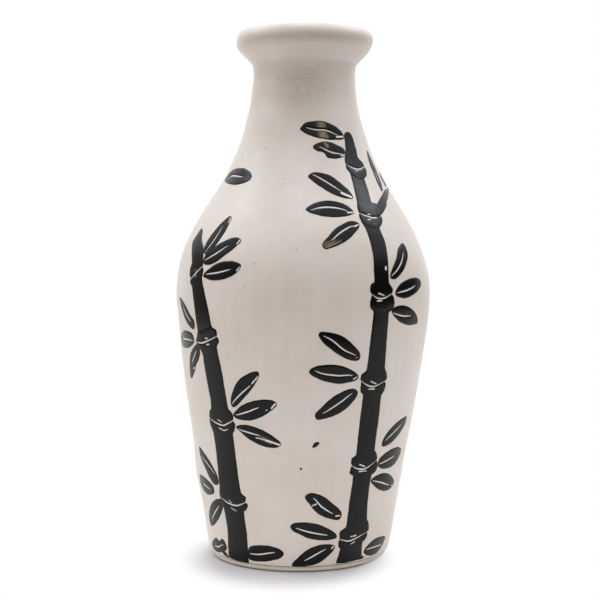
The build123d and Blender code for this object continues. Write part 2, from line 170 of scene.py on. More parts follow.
# Leaves of the front canes, the leaf on the shoulder, the right stalk's branch and the stray flecks
RIGHT_LEAVES = (
    Leaf((344, 137.3), (300, 128.4),
         ((342.6, 133.4), (339.2, 129.2), (332.4, 124.6), (322.8, 121), (313.2, 120.9), (305.4, 122.8)),
         ((342, 139.5), (336.2, 139.9), (328.5, 139.7), (315.9, 137.4), (307.5, 134.6), (301.4, 130.8)),
         ((337.3, 135), (332.4, 132.7), (325.9, 130.4), (314.4, 129.6), (305.4, 127.5)),
         (((336.6, 136.9), (343.6, 136.6), 1.29),), (((320.5, 121), (324, 139.5), 9),)),
    Leaf((345.8, 154.6), (312.9, 146.6),
         ((343.8, 148.7), (338.1, 145.3), (330.4, 142.2), (322.8, 141.7), (315.9, 143.6)),
         ((343.1, 157), (337.3, 158.5), (332.4, 158.6), (327.2, 157.6), (325.9, 155.8), (324.6, 153.6),
          (321.5, 152), (317.8, 151.4), (314, 148.9)),
         ((341.9, 154.1), (332.7, 152.6), (325.9, 149.9), (319.3, 146.6)),
         (((341.2, 155.4), (346.4, 155), 1.16),), (((325, 141.5), (327, 146), 4),)),
    Leaf((353.1, 197), (308, 175.9),
         ((348.8, 190.2), (340.2, 182.7), (332.1, 176.4), (323, 173.2), (313.2, 172.4)),
         ((351.5, 199), (343.6, 197.9), (333.3, 194.4), (323, 188.6), (313.2, 181.7), (308.9, 178)),
         ((341.5, 191.2), (332.1, 185.4), (323, 179.9), (312.3, 174.5)),
         (((341.5, 192.8), (351, 197), 1.77),)),
    Leaf((353.8, 212.1), (305.4, 209.2),
         ((347.1, 205.6), (339, 202.2), (328.7, 200.5), (318.9, 201.6), (311.5, 204.5)),
         ((351, 214.8), (344.8, 216.5), (334.4, 217.1), (323, 216.2), (312.6, 213.6), (307, 211.2)),
         ((347, 210.8), (343.6, 209.5), (335.6, 207.8), (327.6, 207.2), (318.9, 207.8), (310.9, 209.8)),
         (((347.5, 212.6), (352.6, 212.4), 1.09),)),
    Leaf((359.2, 224.3), (322.3, 245.4),
         ((355.1, 221.2), (348.8, 221.4), (341.3, 224.6), (333.3, 230.3), (327.6, 237.2), (323.4, 242)),
         ((358.7, 228), (354.5, 233.4), (348.8, 239.2), (340.2, 244.3), (331, 247.8), (325.3, 248.9)),
         ((352.8, 226.1), (349.4, 227), (340.2, 232.7), (331.3, 240.2)),
         (((354, 226.6), (357.8, 224.8), 1.09),), (((324, 246.5), (341, 245), 8),)),
    Leaf((382, 191.5), (367.1, 150.6), ((382.1, 187), (379.4, 178.5), (374.6, 167), (370.3, 157.5)),
         ((379.5, 187.6), (376.2, 180.2), (372.8, 171.5), (369.5, 163.5), (367.6, 156.8)),
         ((380.4, 185.6), (377.5, 179), (373.4, 167))),
    Leaf((386.2, 186.8), (379.4, 172.6), ((385.7, 184.4), (383.7, 180.4), (381.5, 176.2)),
         ((384.5, 184.8), (382.5, 181), (380.5, 176.8))),
    Leaf((391.6, 279), (402.8, 243.2), ((390.4, 274.5), (393, 267), (396.6, 257), (398.2, 248)),
         ((396, 278.5), (402, 272.5), (406.6, 262), (407.5, 252)),
         ((391.8, 276), (397.4, 269.6), (401.8, 260.7), (403.2, 252))),
    Leaf((395.4, 294.3), (420.5, 281), ((396.6, 289), (402, 282.5), (411, 278.2), (417, 277.8)),
         ((399, 297.3), (407, 298), (415, 293.6), (420.3, 287)),
         ((397.3, 293), (407.1, 290.2), (415.2, 285.7))),
    Leaf((391.8, 310.9), (417.5, 322.5), ((395, 307), (403.6, 305.4), (411.6, 308.9), (416.8, 315.6)),
         ((394, 316), (400, 322), (408, 325.1), (415, 324.2)),
         ((393.3, 312.9), (402.7, 316), (410.7, 316.5))),
    Leaf((360, 358.2), (318.4, 335),
         ((360.4, 355), (358.1, 350.2), (351.4, 343.1), (343.2, 336.7), (335.5, 333.5), (326.6, 332),
          (320.8, 331.9)),
         ((358, 360.5), (355.3, 361), (347, 359.2), (339.3, 355.1), (331.7, 350), (324.7, 344.3),
          (320.2, 338.8)), ((355.6, 355.3), (345.7, 350.9), (340.6, 347.4), (333, 341), (324, 336.2)),
         (((355.6, 357.5), (357.4, 357.4), 0.54), ((329.3, 346.4), (329.8, 346.2), 0.34))),
    Leaf((358.5, 377), (309, 371.2),
         ((356.5, 373.4), (350.2, 369.2), (340.6, 365.7), (331.7, 364.8), (321.5, 365.3), (313.8, 367.3)),
         ((356.8, 379.8), (352.1, 381.6), (345.7, 383.1), (338.1, 383.8), (327.9, 382.2), (318.3, 379),
          (311.3, 375.2)),
         ((351.5, 375.5), (347, 375.2), (340.6, 375.7), (331.7, 375.1), (321.5, 373.5), (314.2, 370.6)),
         (((353.6, 379), (357, 377), 0.88), ((347.5, 375.6), (350.8, 375.8), 1.02))),
    Leaf((357.9, 392), (314.8, 416),
         ((355, 389), (350.2, 388.9), (344.4, 390.8), (335.5, 395.4), (327.9, 401.1), (320.9, 408.1),
          (315.9, 413)),
         ((356.5, 396.9), (352.1, 402.6), (345.7, 409), (336.8, 414.7), (327.9, 417.9), (319.6, 419.8),
          (316.4, 419.4)), ((352.7, 393.2), (340.6, 402.2), (331.7, 408.2), (322.5, 413.6))),
    Leaf((382.2, 446.2), (406.4, 416), ((382.2, 441.8), (387, 433), (394.6, 424.5), (401, 419.3)),
         ((386.5, 445.6), (393.8, 440.4), (401.8, 429.8), (405.8, 421.5)),
         ((384.8, 441.4), (394.6, 431.6), (402, 423.5))),
    Leaf((377.6, 464), (400.2, 447.6), ((380.4, 457.5), (389.3, 450.4), (396.5, 447.2)),
         ((380, 468), (385, 468.8), (392.9, 465.6), (398.2, 458.4), (400.9, 451)),
         ((378.8, 464.2), (386.6, 460.6), (394.6, 455.3))),
    Leaf((370.9, 480.7), (393.9, 481.5), ((374.1, 477.1), (380, 473.9), (386, 473), (391.5, 476)),
         ((373.5, 485.2), (378, 489), (384, 491), (390.5, 488.2)),
         ((372.9, 480.8), (381, 482.5), (389.3, 484.7)), (((391, 485), (393, 485.5), 0.68),)),
    Leaf((341.2, 517), (305.2, 496), ((341, 511.5), (333, 503.8), (322.3, 495.9), (311, 493.1)),
         ((338, 520), (331, 519.1), (320.5, 515.4), (313.2, 509.4), (309, 503.5), (305.6, 499.5)),
         ((333, 513.8), (321.4, 506.6), (313.4, 498.2)),
         (((309.5, 506.8), (316.4, 504), 0.95), ((335.7, 516), (339.5, 515.6), 0.95))),
    Leaf((336.8, 537), (290.3, 525.8), ((333.9, 532.1), (322.3, 525.9), (309, 522.7), (296, 522.8)),
         ((332, 539.5), (322, 540.3), (308.9, 538.4), (299, 534), (292.5, 530.5)),
         ((327.7, 535.4), (309, 532.1), (295.8, 528))),
    Leaf((334.8, 546.2), (291.8, 565), ((329, 544.2), (317.9, 545.5), (307, 550), (298, 557.5)),
         ((333, 550.9), (326.8, 557.1), (317.9, 563.4), (308, 566), (298, 566.8)),
         ((326, 549.1), (316, 554.5), (304.5, 560.7)), (((331.5, 548.5), (334, 545.8), 0.88),)),
    Leaf((363.6, 552), (385, 536.4), ((366, 547.2), (374, 539.4), (380.4, 536.6)),
         ((366.5, 555), (372, 555.3), (378, 551.5), (383, 543)),
         ((366, 549.7), (375.9, 546.4), (382.5, 543.2))),
)
LEFT_LEAVES = (
    Leaf((203.6, 253), (231, 216.2), ((204.2, 247.5), (208.6, 238.8), (218.5, 226), (228, 217)),
         ((208.5, 252.5), (215, 246), (223.9, 233.4), (231.3, 219.5)),
         ((204.8, 252.6), (215, 238.8), (223.2, 225.6)), (((229, 222.5), (230.6, 217.8), 1.02),)),
    Leaf((203.3, 262), (241, 240.6), ((207, 252), (215, 246.4), (227.5, 239.5), (236.5, 237.2)),
         ((206.5, 264.8), (215, 262.5), (227.5, 253.2), (237.5, 245.2)),
         ((204.5, 260.6), (216.8, 253), (228.4, 245.4)), (((237, 244), (240, 240.2), 1.09),)),
    Leaf((203.3, 275), (241, 266), ((209, 268.8), (218.6, 262.8), (231, 260.8), (238.6, 263)),
         ((206, 278.4), (213.2, 280.4), (225.7, 278.6), (236.4, 272.7)),
         ((206, 274.2), (216.8, 272.7), (230.6, 269.2)), (((236.8, 270.5), (240.3, 267), 1.09),)),
    Leaf((194.3, 328.4), (180, 297.2), ((194, 321), (190.5, 315.5), (185, 304.5)),
         ((191, 328), (186, 320.8), (181.8, 308.5)), ((191, 322.3), (186.4, 314.6), (182.6, 305))),
    Leaf((194, 340.6), (181, 336.2), ((192.6, 334.6), (188.5, 331.3), (183.6, 330.6)),
         ((192.3, 345), (187.3, 348), (182.6, 345.5)), ((192.8, 340.8), (187.5, 339.5), (182.6, 338.2))),
    Leaf((198.2, 343.7), (191.2, 378.4), ((193, 348), (190, 356.4), (189.8, 368)),
         ((200, 351), (198.6, 359.5), (195.8, 366), (194.4, 372.5)),
         ((196.2, 350.2), (193.6, 358), (192, 364)), (((196.8, 366.5), (193.6, 368.5), 0.95),)),
    Leaf((232.6, 407), (258.8, 372.4),
         ((230.7, 401.5), (233, 390.4), (238.5, 380.2), (247, 374.2), (254.4, 371.5)),
         ((236.5, 406), (242.5, 399.8), (250.8, 390.3), (258, 378.5)),
         ((232.4, 403.6), (240.9, 393.9), (250.4, 385.2)), (((252, 383.5), (258.3, 376.2), 1.02),)),
    Leaf((233.2, 415), (276.8, 404.3), ((239.1, 407.4), (249.8, 401.9), (263, 399.6), (272.5, 400.6)),
         ((237, 418.6), (248, 420.6), (261.4, 417), (272.1, 410)),
         ((235.6, 415.2), (247.1, 412), (258.75, 407.7)),
         (((271.5, 408.3), (275.4, 403.8), 1.02), ((265.5, 410.6), (267.5, 410), 0.54))),
    Leaf((236.2, 426.6), (281.3, 444), ((245.4, 424.8), (258.75, 428.5), (272, 435.6)),
         ((241.8, 433.2), (250.7, 440.3), (261.4, 445.6), (274.5, 448)),
         ((238, 428.7), (249.8, 433), (259.8, 435.8)),
         (((256, 437.6), (266, 440), 0.75), ((266, 440.2), (280, 445), 1.29)),
         (((262, 438), (271, 442), 4),)),
    Leaf((218, 484.6), (199.4, 446.3), ((218.2, 478.6), (214, 468.6), (207.2, 457.2)),
         ((213, 483.2), (205.2, 468), (200.3, 454.5)), ((214.6, 474.1), (207.9, 464.4), (201, 454.8))),
    Leaf((214.3, 492.6), (199.8, 475), ((212.8, 486), (207, 479.4), (202.5, 475.8)),
         ((211, 494.7), (206, 493.2), (201.5, 485.5)), ((210.7, 489.8), (206, 486), (201.8, 481.8))),
    Leaf((221.8, 499.6), (212.2, 526), ((216, 499.3), (211, 504.6), (209.1, 515), (210.2, 522.5)),
         ((223.2, 505), (220.8, 514.5), (216, 522.8)), ((218.8, 506), (215, 512.4), (211.8, 520.5))),
    Leaf((247.6, 552.5), (283.8, 553.5), ((250, 546.8), (257, 545.3), (267.7, 545.7), (279, 548.9)),
         ((250, 559.4), (261.4, 561.5), (272.1, 560.6), (280.5, 558)),
         ((249.6, 553.4), (258.75, 554.4), (274.8, 552.5))),
    Leaf((226.9, 548.5), (212.2, 544),
         ((224.5, 541), (221.5, 538.8), (219.5, 541), (216.3, 537.6), (213.3, 540)),
         ((223.5, 551.5), (219, 552.3), (214.3, 549.4)), ((223, 544.8), (218.6, 546.8), (214.6, 545.6))),
    Leaf((222.5, 550.5), (229.2, 557.5), ((225, 551.5), (227.5, 555)), ((223, 553.2), (226, 556.4))),
)
SHOULDER_LEAF = Leaf(
    base=(225, 180),
    tip=(251.9, 176.2),
    above=((230.9, 171.4), (241.6, 168), (248.8, 170.6)),
    below=((227.5, 183.3), (234, 184.9), (243, 183.4), (249.6, 180.2)),
    vein=((227, 179.4), (232, 175.9), (242.9, 176.8)),
)
RIGHT_BRANCH = Leaf(
    base=(371, 210.5),
    tip=(387.8, 187),
    above=((372.5, 203), (374.5, 203.2), (376.4, 204), (378.8, 200.3), (381.5, 196), (384.6, 190.3)),
    below=((376, 217), (380.5, 215.5), (383.4, 211.8), (386.3, 206), (387, 201), (388.6, 192.3)),
)
FLECKS = (
    Leaf((312.3, 447.4), (319.4, 442.6), ((314, 443.6), (317, 442)), ((315, 447.2), (318.6, 444.8))),
    Leaf((299.8, 468.7), (302, 468.7), ((300.9, 467.5),), ((300.9, 469.9),)),
)

# Scratched lines across the front stalks, from the foot up and left to right, and the lengths of stalk between
# them
RIGHT_LINES = (
    ((335.7, 563.4), (344.6, 563), (353.6, 560.7), (361.5, 558.9)),
    ((339.3, 539.3), (348.2, 541), (353.6, 539.3), (367, 531.7)),
    ((351.8, 466), (358, 468.9), (366, 468.2), (376.8, 460.2)),
    ((361.2, 381.2), (367.9, 385.6), (374.1, 386.5), (384.8, 381.2)),
    ((371.9, 294.6), (377.7, 298.2), (383.9, 298.2), (392, 293.75)),
    ((358.9, 213), (367, 216), (374.1, 217.9), (379.5, 215.6)),
    ((345.4, 163.8), (353.6, 168.3), (358.9, 169.2), (364.3, 166.5)),
    ((344.2, 137.5), (344.1, 134.4), (345.6, 132.4), (348, 131.9), (350.6, 133.8), (352.6, 137.8)),
)
RIGHT_JOINTS = (
    Joint(((340.2, 548.8), (338.4, 547.3), (338.4, 542)),
          ((363.8, 557.1), (361.6, 555), (362.5, 542), (365.2, 539.3), (367.4, 534.8)),
          (((350.9, 543.8), (354.5, 541.6), 0.82),), (False, True)),
    Joint(((339.3, 537.5), (339.7, 532.1), (343.75, 528.6), (346, 527), (349.6, 500), (353.1, 475.8),
           (349.6, 473.6), (350.9, 467.3)),
          ((368.75, 529.5), (368.3, 521.4), (367, 519.8), (367.9, 500), (371.9, 473.5), (375.9, 470.9),
           (377.7, 465.5)),
          (((350.4, 536.6), (355.8, 535.2), 0.88), ((358.9, 471.4), (366.5, 470.8), 0.75))),
    Joint(((350.9, 462.9), (351.8, 458.4), (355.8, 455.3), (356.4, 453), (359.8, 420), (363, 394.5),
           (360.7, 392.3), (360.3, 387.9)),
          ((377.2, 455.7), (375.9, 451.7), (374.6, 450.5), (378.6, 420), (381.3, 395.5), (384.4, 390.5),
           (385.7, 384.3)),
          (((359.4, 464.4), (364.7, 466.4), 0.88), ((368.3, 389.2), (374.1, 388.9), 0.82))),
    Joint(((360.3, 379.8), (361.6, 374.5), (366, 370.9), (367, 368), (369.6, 346.8), (372.8, 320),
           (373.5, 312), (370.5, 308), (370.1, 301.8)),
          ((386.6, 379), (387, 375.4), (385.7, 370), (384.9, 368), (386.6, 342.3), (388.4, 320),
           (389.3, 311.6), (393.3, 308.9), (394.6, 303.6), (393.75, 297.3)),
          (((371, 381.4), (375.9, 383.8), 0.88), ((377.2, 301), (381.7, 300.6), 0.88))),
    Joint(((370.1, 291), (370.3, 287), (371.4, 283.9), (374.1, 282), (373.8, 268), (373.2, 256.3),
           (370.5, 242.9), (365.2, 227.7), (361.6, 222.3), (358.9, 216)),
          ((392.9, 289.3), (389.3, 283), (388.8, 280), (388.4, 268), (387.6, 257), (384.8, 241.1),
           (379.5, 227.7), (381.3, 225), (382.6, 220.5), (381.3, 216.6)),
          (((378.6, 293.4), (383.9, 295.5), 0.88), ((367.4, 219.6), (370.4, 219.4), 0.75),
           ((385.6, 266.8), (385.8, 269.4), 1.6))),
    Joint(((357.1, 207), (356.9, 202), (353.6, 187), (350, 173.2), (346.4, 168.8)),
          ((380, 211), (374, 204.5), (371.4, 201.8), (368, 190), (364.3, 177.7), (366.6, 176),
           (366.2, 169.5)), (((367.5, 214.2), (370, 214.4), 0.75), ((355, 171), (357.6, 171.2), 0.5))),
    Joint(((344.6, 158.9), (345.4, 152), (345, 143)),
          ((363, 163), (358, 157.5), (356.3, 150), (354, 142)), (), (False, False)),
)
LEFT_LINES = (
    ((228.8, 557), (236.4, 560.5), (248.9, 563)),
    ((219.9, 496.7), (227.5, 502.5), (236.4, 505.6), (244.6, 503)),
    ((209.6, 417.9), (215, 422.3), (223, 425.4), (227.5, 423.7), (232.8, 420.8)),
    ((195.8, 341.7), (201.6, 343), (207.9, 340.8), (216.6, 336.6)),
    ((190.9, 278.9), (195.4, 273.6), (202.6, 266.2)),
    ((199.6, 231.8), (201.6, 228.5), (202.8, 231)),
)
LEFT_JOINTS = (
    Joint(((227.5, 530.2), (223.9, 508.75), (221.5, 502)),
          ((247.1, 536.4), (244, 511.4), (246.25, 510), (248, 506), (246.4, 503)),
          (((231.1, 507.6), (236, 510.8), 0.75),), (False, True)),
    Joint(((219.3, 492), (219.5, 487.5), (217.7, 467), (213.2, 431.8), (212.3, 429.5), (210, 423.2)),
          ((245.7, 500.5), (245.8, 497.1), (242.7, 494.9), (240.9, 492.5), (237.3, 468.8), (232.9, 433.9),
           (234.2, 431.3), (235.5, 424.5)),
          (((229.3, 500), (232, 503.4), 0.82), ((219.5, 427.9), (224.4, 430.6), 0.75),
           ((224.4, 430.6), (228.2, 429.2), 0.68))),
    Joint(((209.2, 416), (209.6, 410.7), (211, 408.2), (210.5, 399.3), (204.3, 365.4), (202.5, 353.75),
           (199.5, 348), (197.1, 343.9)),
          ((233.3, 418), (232.9, 414.3), (231, 411.6), (228.4, 409.1), (222.1, 372.5), (216.8, 346.6),
           (219, 342.1), (218, 338)),
          (((217.7, 419.4), (221.8, 422), 0.75), ((206.8, 344.6), (209.2, 344.2), 0.88))),
    Joint(((196.7, 337.7), (197.6, 332.3), (197.1, 327.1), (193.6, 300.4), (191.8, 286), (190, 282.5)),
          ((216.8, 333.6), (215.9, 329.6), (212.3, 327.4), (211.4, 325.5), (207.9, 307.5), (204.3, 291.4),
           (202, 278), (203.4, 270)),
          (((205.4, 338.2), (207.6, 338.4), 0.88), ((194.9, 277.2), (197.1, 274.6), 0.35)), (True, False)),
    Joint(((189.6, 275.4), (190, 270), (191.8, 262.9), (191.8, 249.5), (192.7, 242.3)),
          ((203.4, 259.3), (203.4, 246.8), (201.8, 239.6)), (((194.2, 271.2), (196.6, 269.2), 0.35),),
          (False, False)),
)

# Stalks round the back, from the foot to the tip: share of the painted height, bearing in degrees
BACK_LEFT_STATIONS = (
    (0.0, -128.0), (0.085, -127.0), (0.24, -124.0), (0.39, -119.5), (0.535, -114.5), (0.66, -109.5),
    (0.745, -104.5), (0.80, -100.5),
)
BACK_RIGHT_STATIONS = (
    (0.0, 128.0), (0.075, 128.5), (0.225, 130.0), (0.375, 131.5), (0.52, 133.0), (0.655, 136.0),
    (0.76, 139.5), (0.82, 141.3),
)

# Stalks round the back: width at the foot, share of it lost on the way up, swell and height of the rings, sag
# of the scratched lines, arch of the two ends, and width of the ticks in millimetres
STALK_FOOT_WIDTH = 20.5 * MM
STALK_TAPER = 0.48
RING_SWELL = 1.34
RING_REACH = 8.6 * MM
LINE_SAG = 2.6 * MM
END_ARCH = 0.4 * MM
TICK_WIDTH = 1.2

# Leaves round the back: half their width, its share at some places from base to tip, and their bow
LEAF_HALF_WIDTH = 6.3 * MM
LEAF_SHARES = ((0.07, 0.42), (0.28, 0.9), (0.55, 1.0), (0.8, 0.74), (0.95, 0.32))
LEAF_BOW = 1.6 * MM

# Finding the solid leaves: the radius that turns a bearing into a length, and how near to the traced leaf on
# the shoulder a leaf's middle has to be, in bearing and level
BELLY_REACH = 80 * MM
SHOULDER_NEAR = (0.25, 12 * MM)

# The brush: roundness of a leaf's ends, slack of a stalk's edges, how far it strays from an edge and in what
# waves, the share of the coat that stands right at its edge, what sets the streaks of two strokes apart, and
# how wide a ring rounds off towards the stalk's edges
END_ROUND = 1.6 * MM
SIDE_SLACK = 0.6
BRUSH_STRAY = 0.2 * MM
BRUSH_WAVE = 3.2 * MM
EDGE_STEP = 0.22
STROKE_SHIFT = 0.31
RING_ROUND = 1.5 * MM

# Lumps in the coat: share of its thickness, and how many to a metre
LEAF_LUMPS, LEAF_LUMP_SCALE = 0.12, 160
STALK_LUMPS, STALK_LUMP_SCALE = 0.2, 300

# Nicks: the black rim left around one, the share of the coat that it takes off, how its sides slope, and the
# value for slip that nothing touched
BLACK_RIM = 0.6 * MM
NICK_DEPTH = 0.8
NICK_SLOPE = (-0.3 * MM, 0.2 * MM)
UNRUBBED = -5 * MM

# Scratched lines and veins: a line's width at its ends against its middle, the bank of a vein, its width at
# its ends and the most of a leaf that it takes, the slip that stays in a cut, and how bare it is
LINE_END = 0.4
VEIN_BANK = 0.12 * MM
VEIN_END = 0.35
VEIN_MOST = 0.3
CUT_FLOOR = 0.03 * MM
CUT_BARE = 0.6 * MM

# Painted highlights on the slip, a lamp's golden sheen: the share of their reach that is at full strength, and
# the black rim that they fade in from
SHEEN_CORE = 0.1
SHEEN_RIM = (0.2 * MM, 2 * BLACK_RIM)

# Fineness of the meshes
LEAF_ROWS = 48
LOBE_COLUMNS = 9
STALK_ROWS = 64
STALK_COLUMNS = 26
EDGE_POINTS = 400
CURVE_STEPS = 14
SHARP_EDGE = math.radians(48)
GENTLE_BEND = math.radians(158)
SMOOTHINGS = 8

# The search for the wall along a ray: where it starts in front of the axis, and its steps
SEARCH_START = 110 * MM
SEARCH_STEP = 2 * MM
SEARCH_STEPS = 60
SEARCH_HALVINGS = 12

# Grain of the brushed paint, as the length of its marks: upright on the body, around on the neck
UPRIGHT_MARKS = (5 * MM, 5 * MM, 85 * MM)
NECK_MARKS = (60 * MM, 60 * MM, 3 * MM)

# Colours of the marks in the paint and in the slip, of the painted shade (with a stain on the neck) on the
# paint, of the painted highlight on the slip, and of the light
SPECK_COLOUR = "6A5C4A"
SHADE_AND_STAIN_COLOUR = "A89A7C"
SEAM_SHADE_COLOUR = "4E4234"
STREAK_COLOUR = "0B0A0B"
SHEEN_COLOUR = "94866A"
ROOM_TINT = "FFECD4"
SKY_TINT = "F8FAFF"
SOFTBOX_TINT = "EEF0FF"

# The softboxes' places and sides, the spot that they look at, and half the side of the floor, in metres
SIDE_SOFTBOXES = (("left softbox", Vector((-0.75, 0.2, 1.2))), ("right softbox", Vector((0.75, 0.2, 1.2))))
SIDE_SOFTBOX_SIZE = 0.55
TOP_SOFTBOX_PLACE = Vector((0, -0.2, 1.45))
TOP_SOFTBOX_SIZE = 0.6
SOFTBOX_AIM = Vector((0, 0, 0.3))
FLOOR_HALF = 1.5

# Sockets of the mix node, which has a pair for each kind of value
FACTOR, FLOAT_A, FLOAT_B, COLOUR_A, COLOUR_B = 0, 2, 3, 6, 7


def linear_colour(code):
    """Turn an sRGB hex colour into linear red, green and blue."""
    parts = [int(code[i : i + 2], 16) / 255 for i in (0, 2, 4)]
    return tuple(c / 12.92 if c <= 0.04045 else ((c + 0.055) / 1.055) ** 2.4 for c in parts)


def ease(value, low, high):
    """Smooth step from 0 at low to 1 at high."""
    t = min(max((value - low) / (high - low), 0.0), 1.0)
    return t * t * (3 - 2 * t)


def hump(value, middle, spread):
    """Bell of height 1 around a middle."""
    return math.exp(-(((value - middle) / spread) ** 2))


def lean(level):
    """How far the axis of the wall stands to the right at a level."""
    return LEAN * (level - LEAN_LEVEL)


def bearing_of(point):
    """Bearing of a point of the leaning wall, from the front towards the right."""
    return math.atan2(point.x - lean(point.z), -point.y)


def cad_bearing(point):
    """Bearing of a point of the straight CAD model."""
    return math.atan2(point.x, -point.y)


def hand_wobble(bearing, level):
    """How far the hand-built wall stands off the true round."""
    side = math.degrees(bearing)
    height = level / MM
    marks = sum(
        amount * hump(math.remainder(side - middle, 360), 0, spread) * hump(height, place, reach)
        for amount, middle, spread, place, reach in THUMB_MARKS
    )
    ripple = sum(
        amount * math.sin(waves * bearing + height / pitch + start) for amount, waves, pitch, start in RIPPLES
    )
    spot = Vector((math.sin(bearing), math.cos(bearing), height / DENT_SPACING))
    dents = DENT_DEPTH * noise.noise(spot * DENT_FINENESS)
    return MM * (marks + (ripple + dents) * ease(height, *EVEN_FOOT))


def lute(bearing, radius, level):
    """Clay smeared into the corner between the neck and the lip, more of it in front than at the sides."""
    if radius < LUTE_INSIDE:
        return 0.0
    share = (LIP_FOOT - level) / LUTE_BELOW if level < LIP_FOOT else (level - LIP_FOOT) / LUTE_ABOVE
    return LUTE * (0.3 + 0.7 * math.cos(bearing) ** 2) * max(0.0, 1 - share) ** 2


def section_of(node):
    """Cut a copy of a CAD node through the axis and keep the half outline on the right."""
    bm = bmesh.new()
    bm.from_mesh(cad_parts[node].data)
    bmesh.ops.remove_doubles(bm, verts=bm.verts, dist=0.002 * MM)
    cut = dict(plane_co=(0, 0, 0), dist=0.001 * MM, clear_inner=True)
    solid = bm.verts[:] + bm.edges[:] + bm.faces[:]
    bmesh.ops.bisect_plane(bm, geom=solid, plane_no=(0, 1, 0), clear_outer=True, **cut)
    bmesh.ops.bisect_plane(bm, geom=bm.verts[:] + bm.edges[:], plane_no=(1, 0, 0), **cut)
    bmesh.ops.delete(bm, geom=bm.faces[:], context="FACES_ONLY")
    bmesh.ops.remove_doubles(bm, verts=bm.verts, dist=0.4 * MM)
    return bm


def outside_radii():
    """Outside radius of the painted wall at each millimetre of height."""
    edges = []
    for node in PAINTED_NODES:
        bm = section_of(node)
        edges += [tuple(sorted((v.co.z, v.co.x) for v in edge.verts)) for edge in bm.edges]
        bm.free()
    radii = []
    for step in range(int(PAINT_HEIGHT / MM) + 12):
        level = step * MM
        hits = [
            x0 + (x1 - x0) * (level - z0) / (z1 - z0)
            for (z0, x0), (z1, x1) in edges
            if z0 <= level <= z1 and z1 - z0 > 1e-7
        ]
        radii.append(max(hits) if hits else None)
    first = next(r for r in radii if r)
    return [r or first for r in radii]


OUTSIDE_RADII = outside_radii()


def wall_radius(level):
    """Outside radius of the painted wall at a level, before the hand's wobble."""
    place = min(max(level / MM, 0.0), len(OUTSIDE_RADII) - 1.001)
    step = int(place)
    return OUTSIDE_RADII[step] + (OUTSIDE_RADII[step + 1] - OUTSIDE_RADII[step]) * (place - step)


def wall_normal(bearing, level):
    """Direction straight out of the wall."""
    reach = 2 * MM
    slope = (wall_radius(level + reach) - wall_radius(level - reach)) / (2 * reach)
    return Vector((math.sin(bearing), -math.cos(bearing), -slope)).normalized()


def wall_point(bearing, level, lift=0.0):
    """Point on the hand-built wall, lifted straight out of it."""
    radius = wall_radius(level) + hand_wobble(bearing, level)
    foot = Vector((lean(level) + radius * math.sin(bearing), -radius * math.cos(bearing), level))
    return foot + lift * wall_normal(bearing, level)


def seen_on_wall(pixel):
    """Bearing and level of the wall's point that the camera sees at a pixel of the photograph, or of the
    point on its ray that is nearest to the wall."""
    across, down = ((p - PHOTO_PIXELS / 2) / FOCAL_PIXELS for p in pixel)
    ray = (CAMERA_MATRIX.to_3x3() @ Vector((across, -down, -1))).normalized()

    def gap(distance):
        point = CAMERA_PLACE + distance * ray
        bearing = bearing_of(point)
        reach = math.hypot(point.x - lean(point.z), point.y)
        return reach - wall_radius(point.z) - hand_wobble(bearing, point.z), bearing, point.z

    near = -CAMERA_PLACE.y - SEARCH_START
    best = None
    for count in range(SEARCH_STEPS):
        trial = (*gap(near + count * SEARCH_STEP), near + count * SEARCH_STEP)
        if best is None or trial[0] < best[0]:
            best = trial
        if trial[0] <= 0:
            break
    if best[0] > 0:
        return best[1], best[2]
    low, high = best[3] - SEARCH_STEP, best[3]
    for _ in range(SEARCH_HALVINGS):
        middle = (low + high) / 2
        low, high = (low, middle) if gap(middle)[0] <= 0 else (middle, high)
    _, bearing, level = gap(high)
    return bearing, level


class BrushSheet:
    """Flat sheet laid on the wall around a first point, for drawing strokes on. Its x runs with the bearing
    and its y is the level."""

    def __init__(self, bearing, level):
        self.bearing = bearing
        self.radius = wall_radius(level)

    def flat(self, bearing, level):
        return Vector((self.radius * math.remainder(bearing - self.bearing, 2 * math.pi), level))

    def seen(self, pixel):
        return self.flat(*seen_on_wall(pixel))

    def wall(self, point, lift=0.0):
        return wall_point(self.bearing + point.x / self.radius, point.y, lift)


def even_line(knots, count, slack=1.0, around=None):
    """Even points along a smooth line through the knots. Less slack keeps its corners sharper, and two points
    around it round off its ends towards them."""
    fine = [knots[0]]
    last = len(knots) - 2
    ahead_of, behind = around or (knots[0], knots[-1])
    for i in range(last + 1):
        start, end = knots[i], knots[i + 1]
        before = knots[i - 1] if i else ahead_of
        after = knots[i + 2] if i < last else behind
        reach = slack * (end - start).length / 3
        blunt = min(reach, END_ROUND) if around else reach
        handle_out = start + (end - before).normalized() * (reach if i else blunt)
        handle_in = end - (after - start).normalized() * (reach if i < last else blunt)
        fine += interpolate_bezier(start, handle_out, handle_in, end, CURVE_STEPS)[1:]
    lengths = [0.0]
    for a, b in zip(fine, fine[1:]):
        lengths.append(lengths[-1] + (b - a).length)
    points = []
    spot = 0
    for step in range(count + 1):
        goal = lengths[-1] * step / count
        while spot < len(fine) - 2 and lengths[spot + 1] < goal:
            spot += 1
        span = lengths[spot + 1] - lengths[spot]
        share = (goal - lengths[spot]) / span if span > 1e-12 else 0.0
        points.append(fine[spot].lerp(fine[spot + 1], share))
    return points


def stroke_distance(point, start, end):
    """Distance of a point from a straight stroke."""
    run = end - start
    share = min(max((point - start).dot(run) / max(run.length_squared, 1e-12), 0.0), 1.0)
    return (point - start - share * run).length


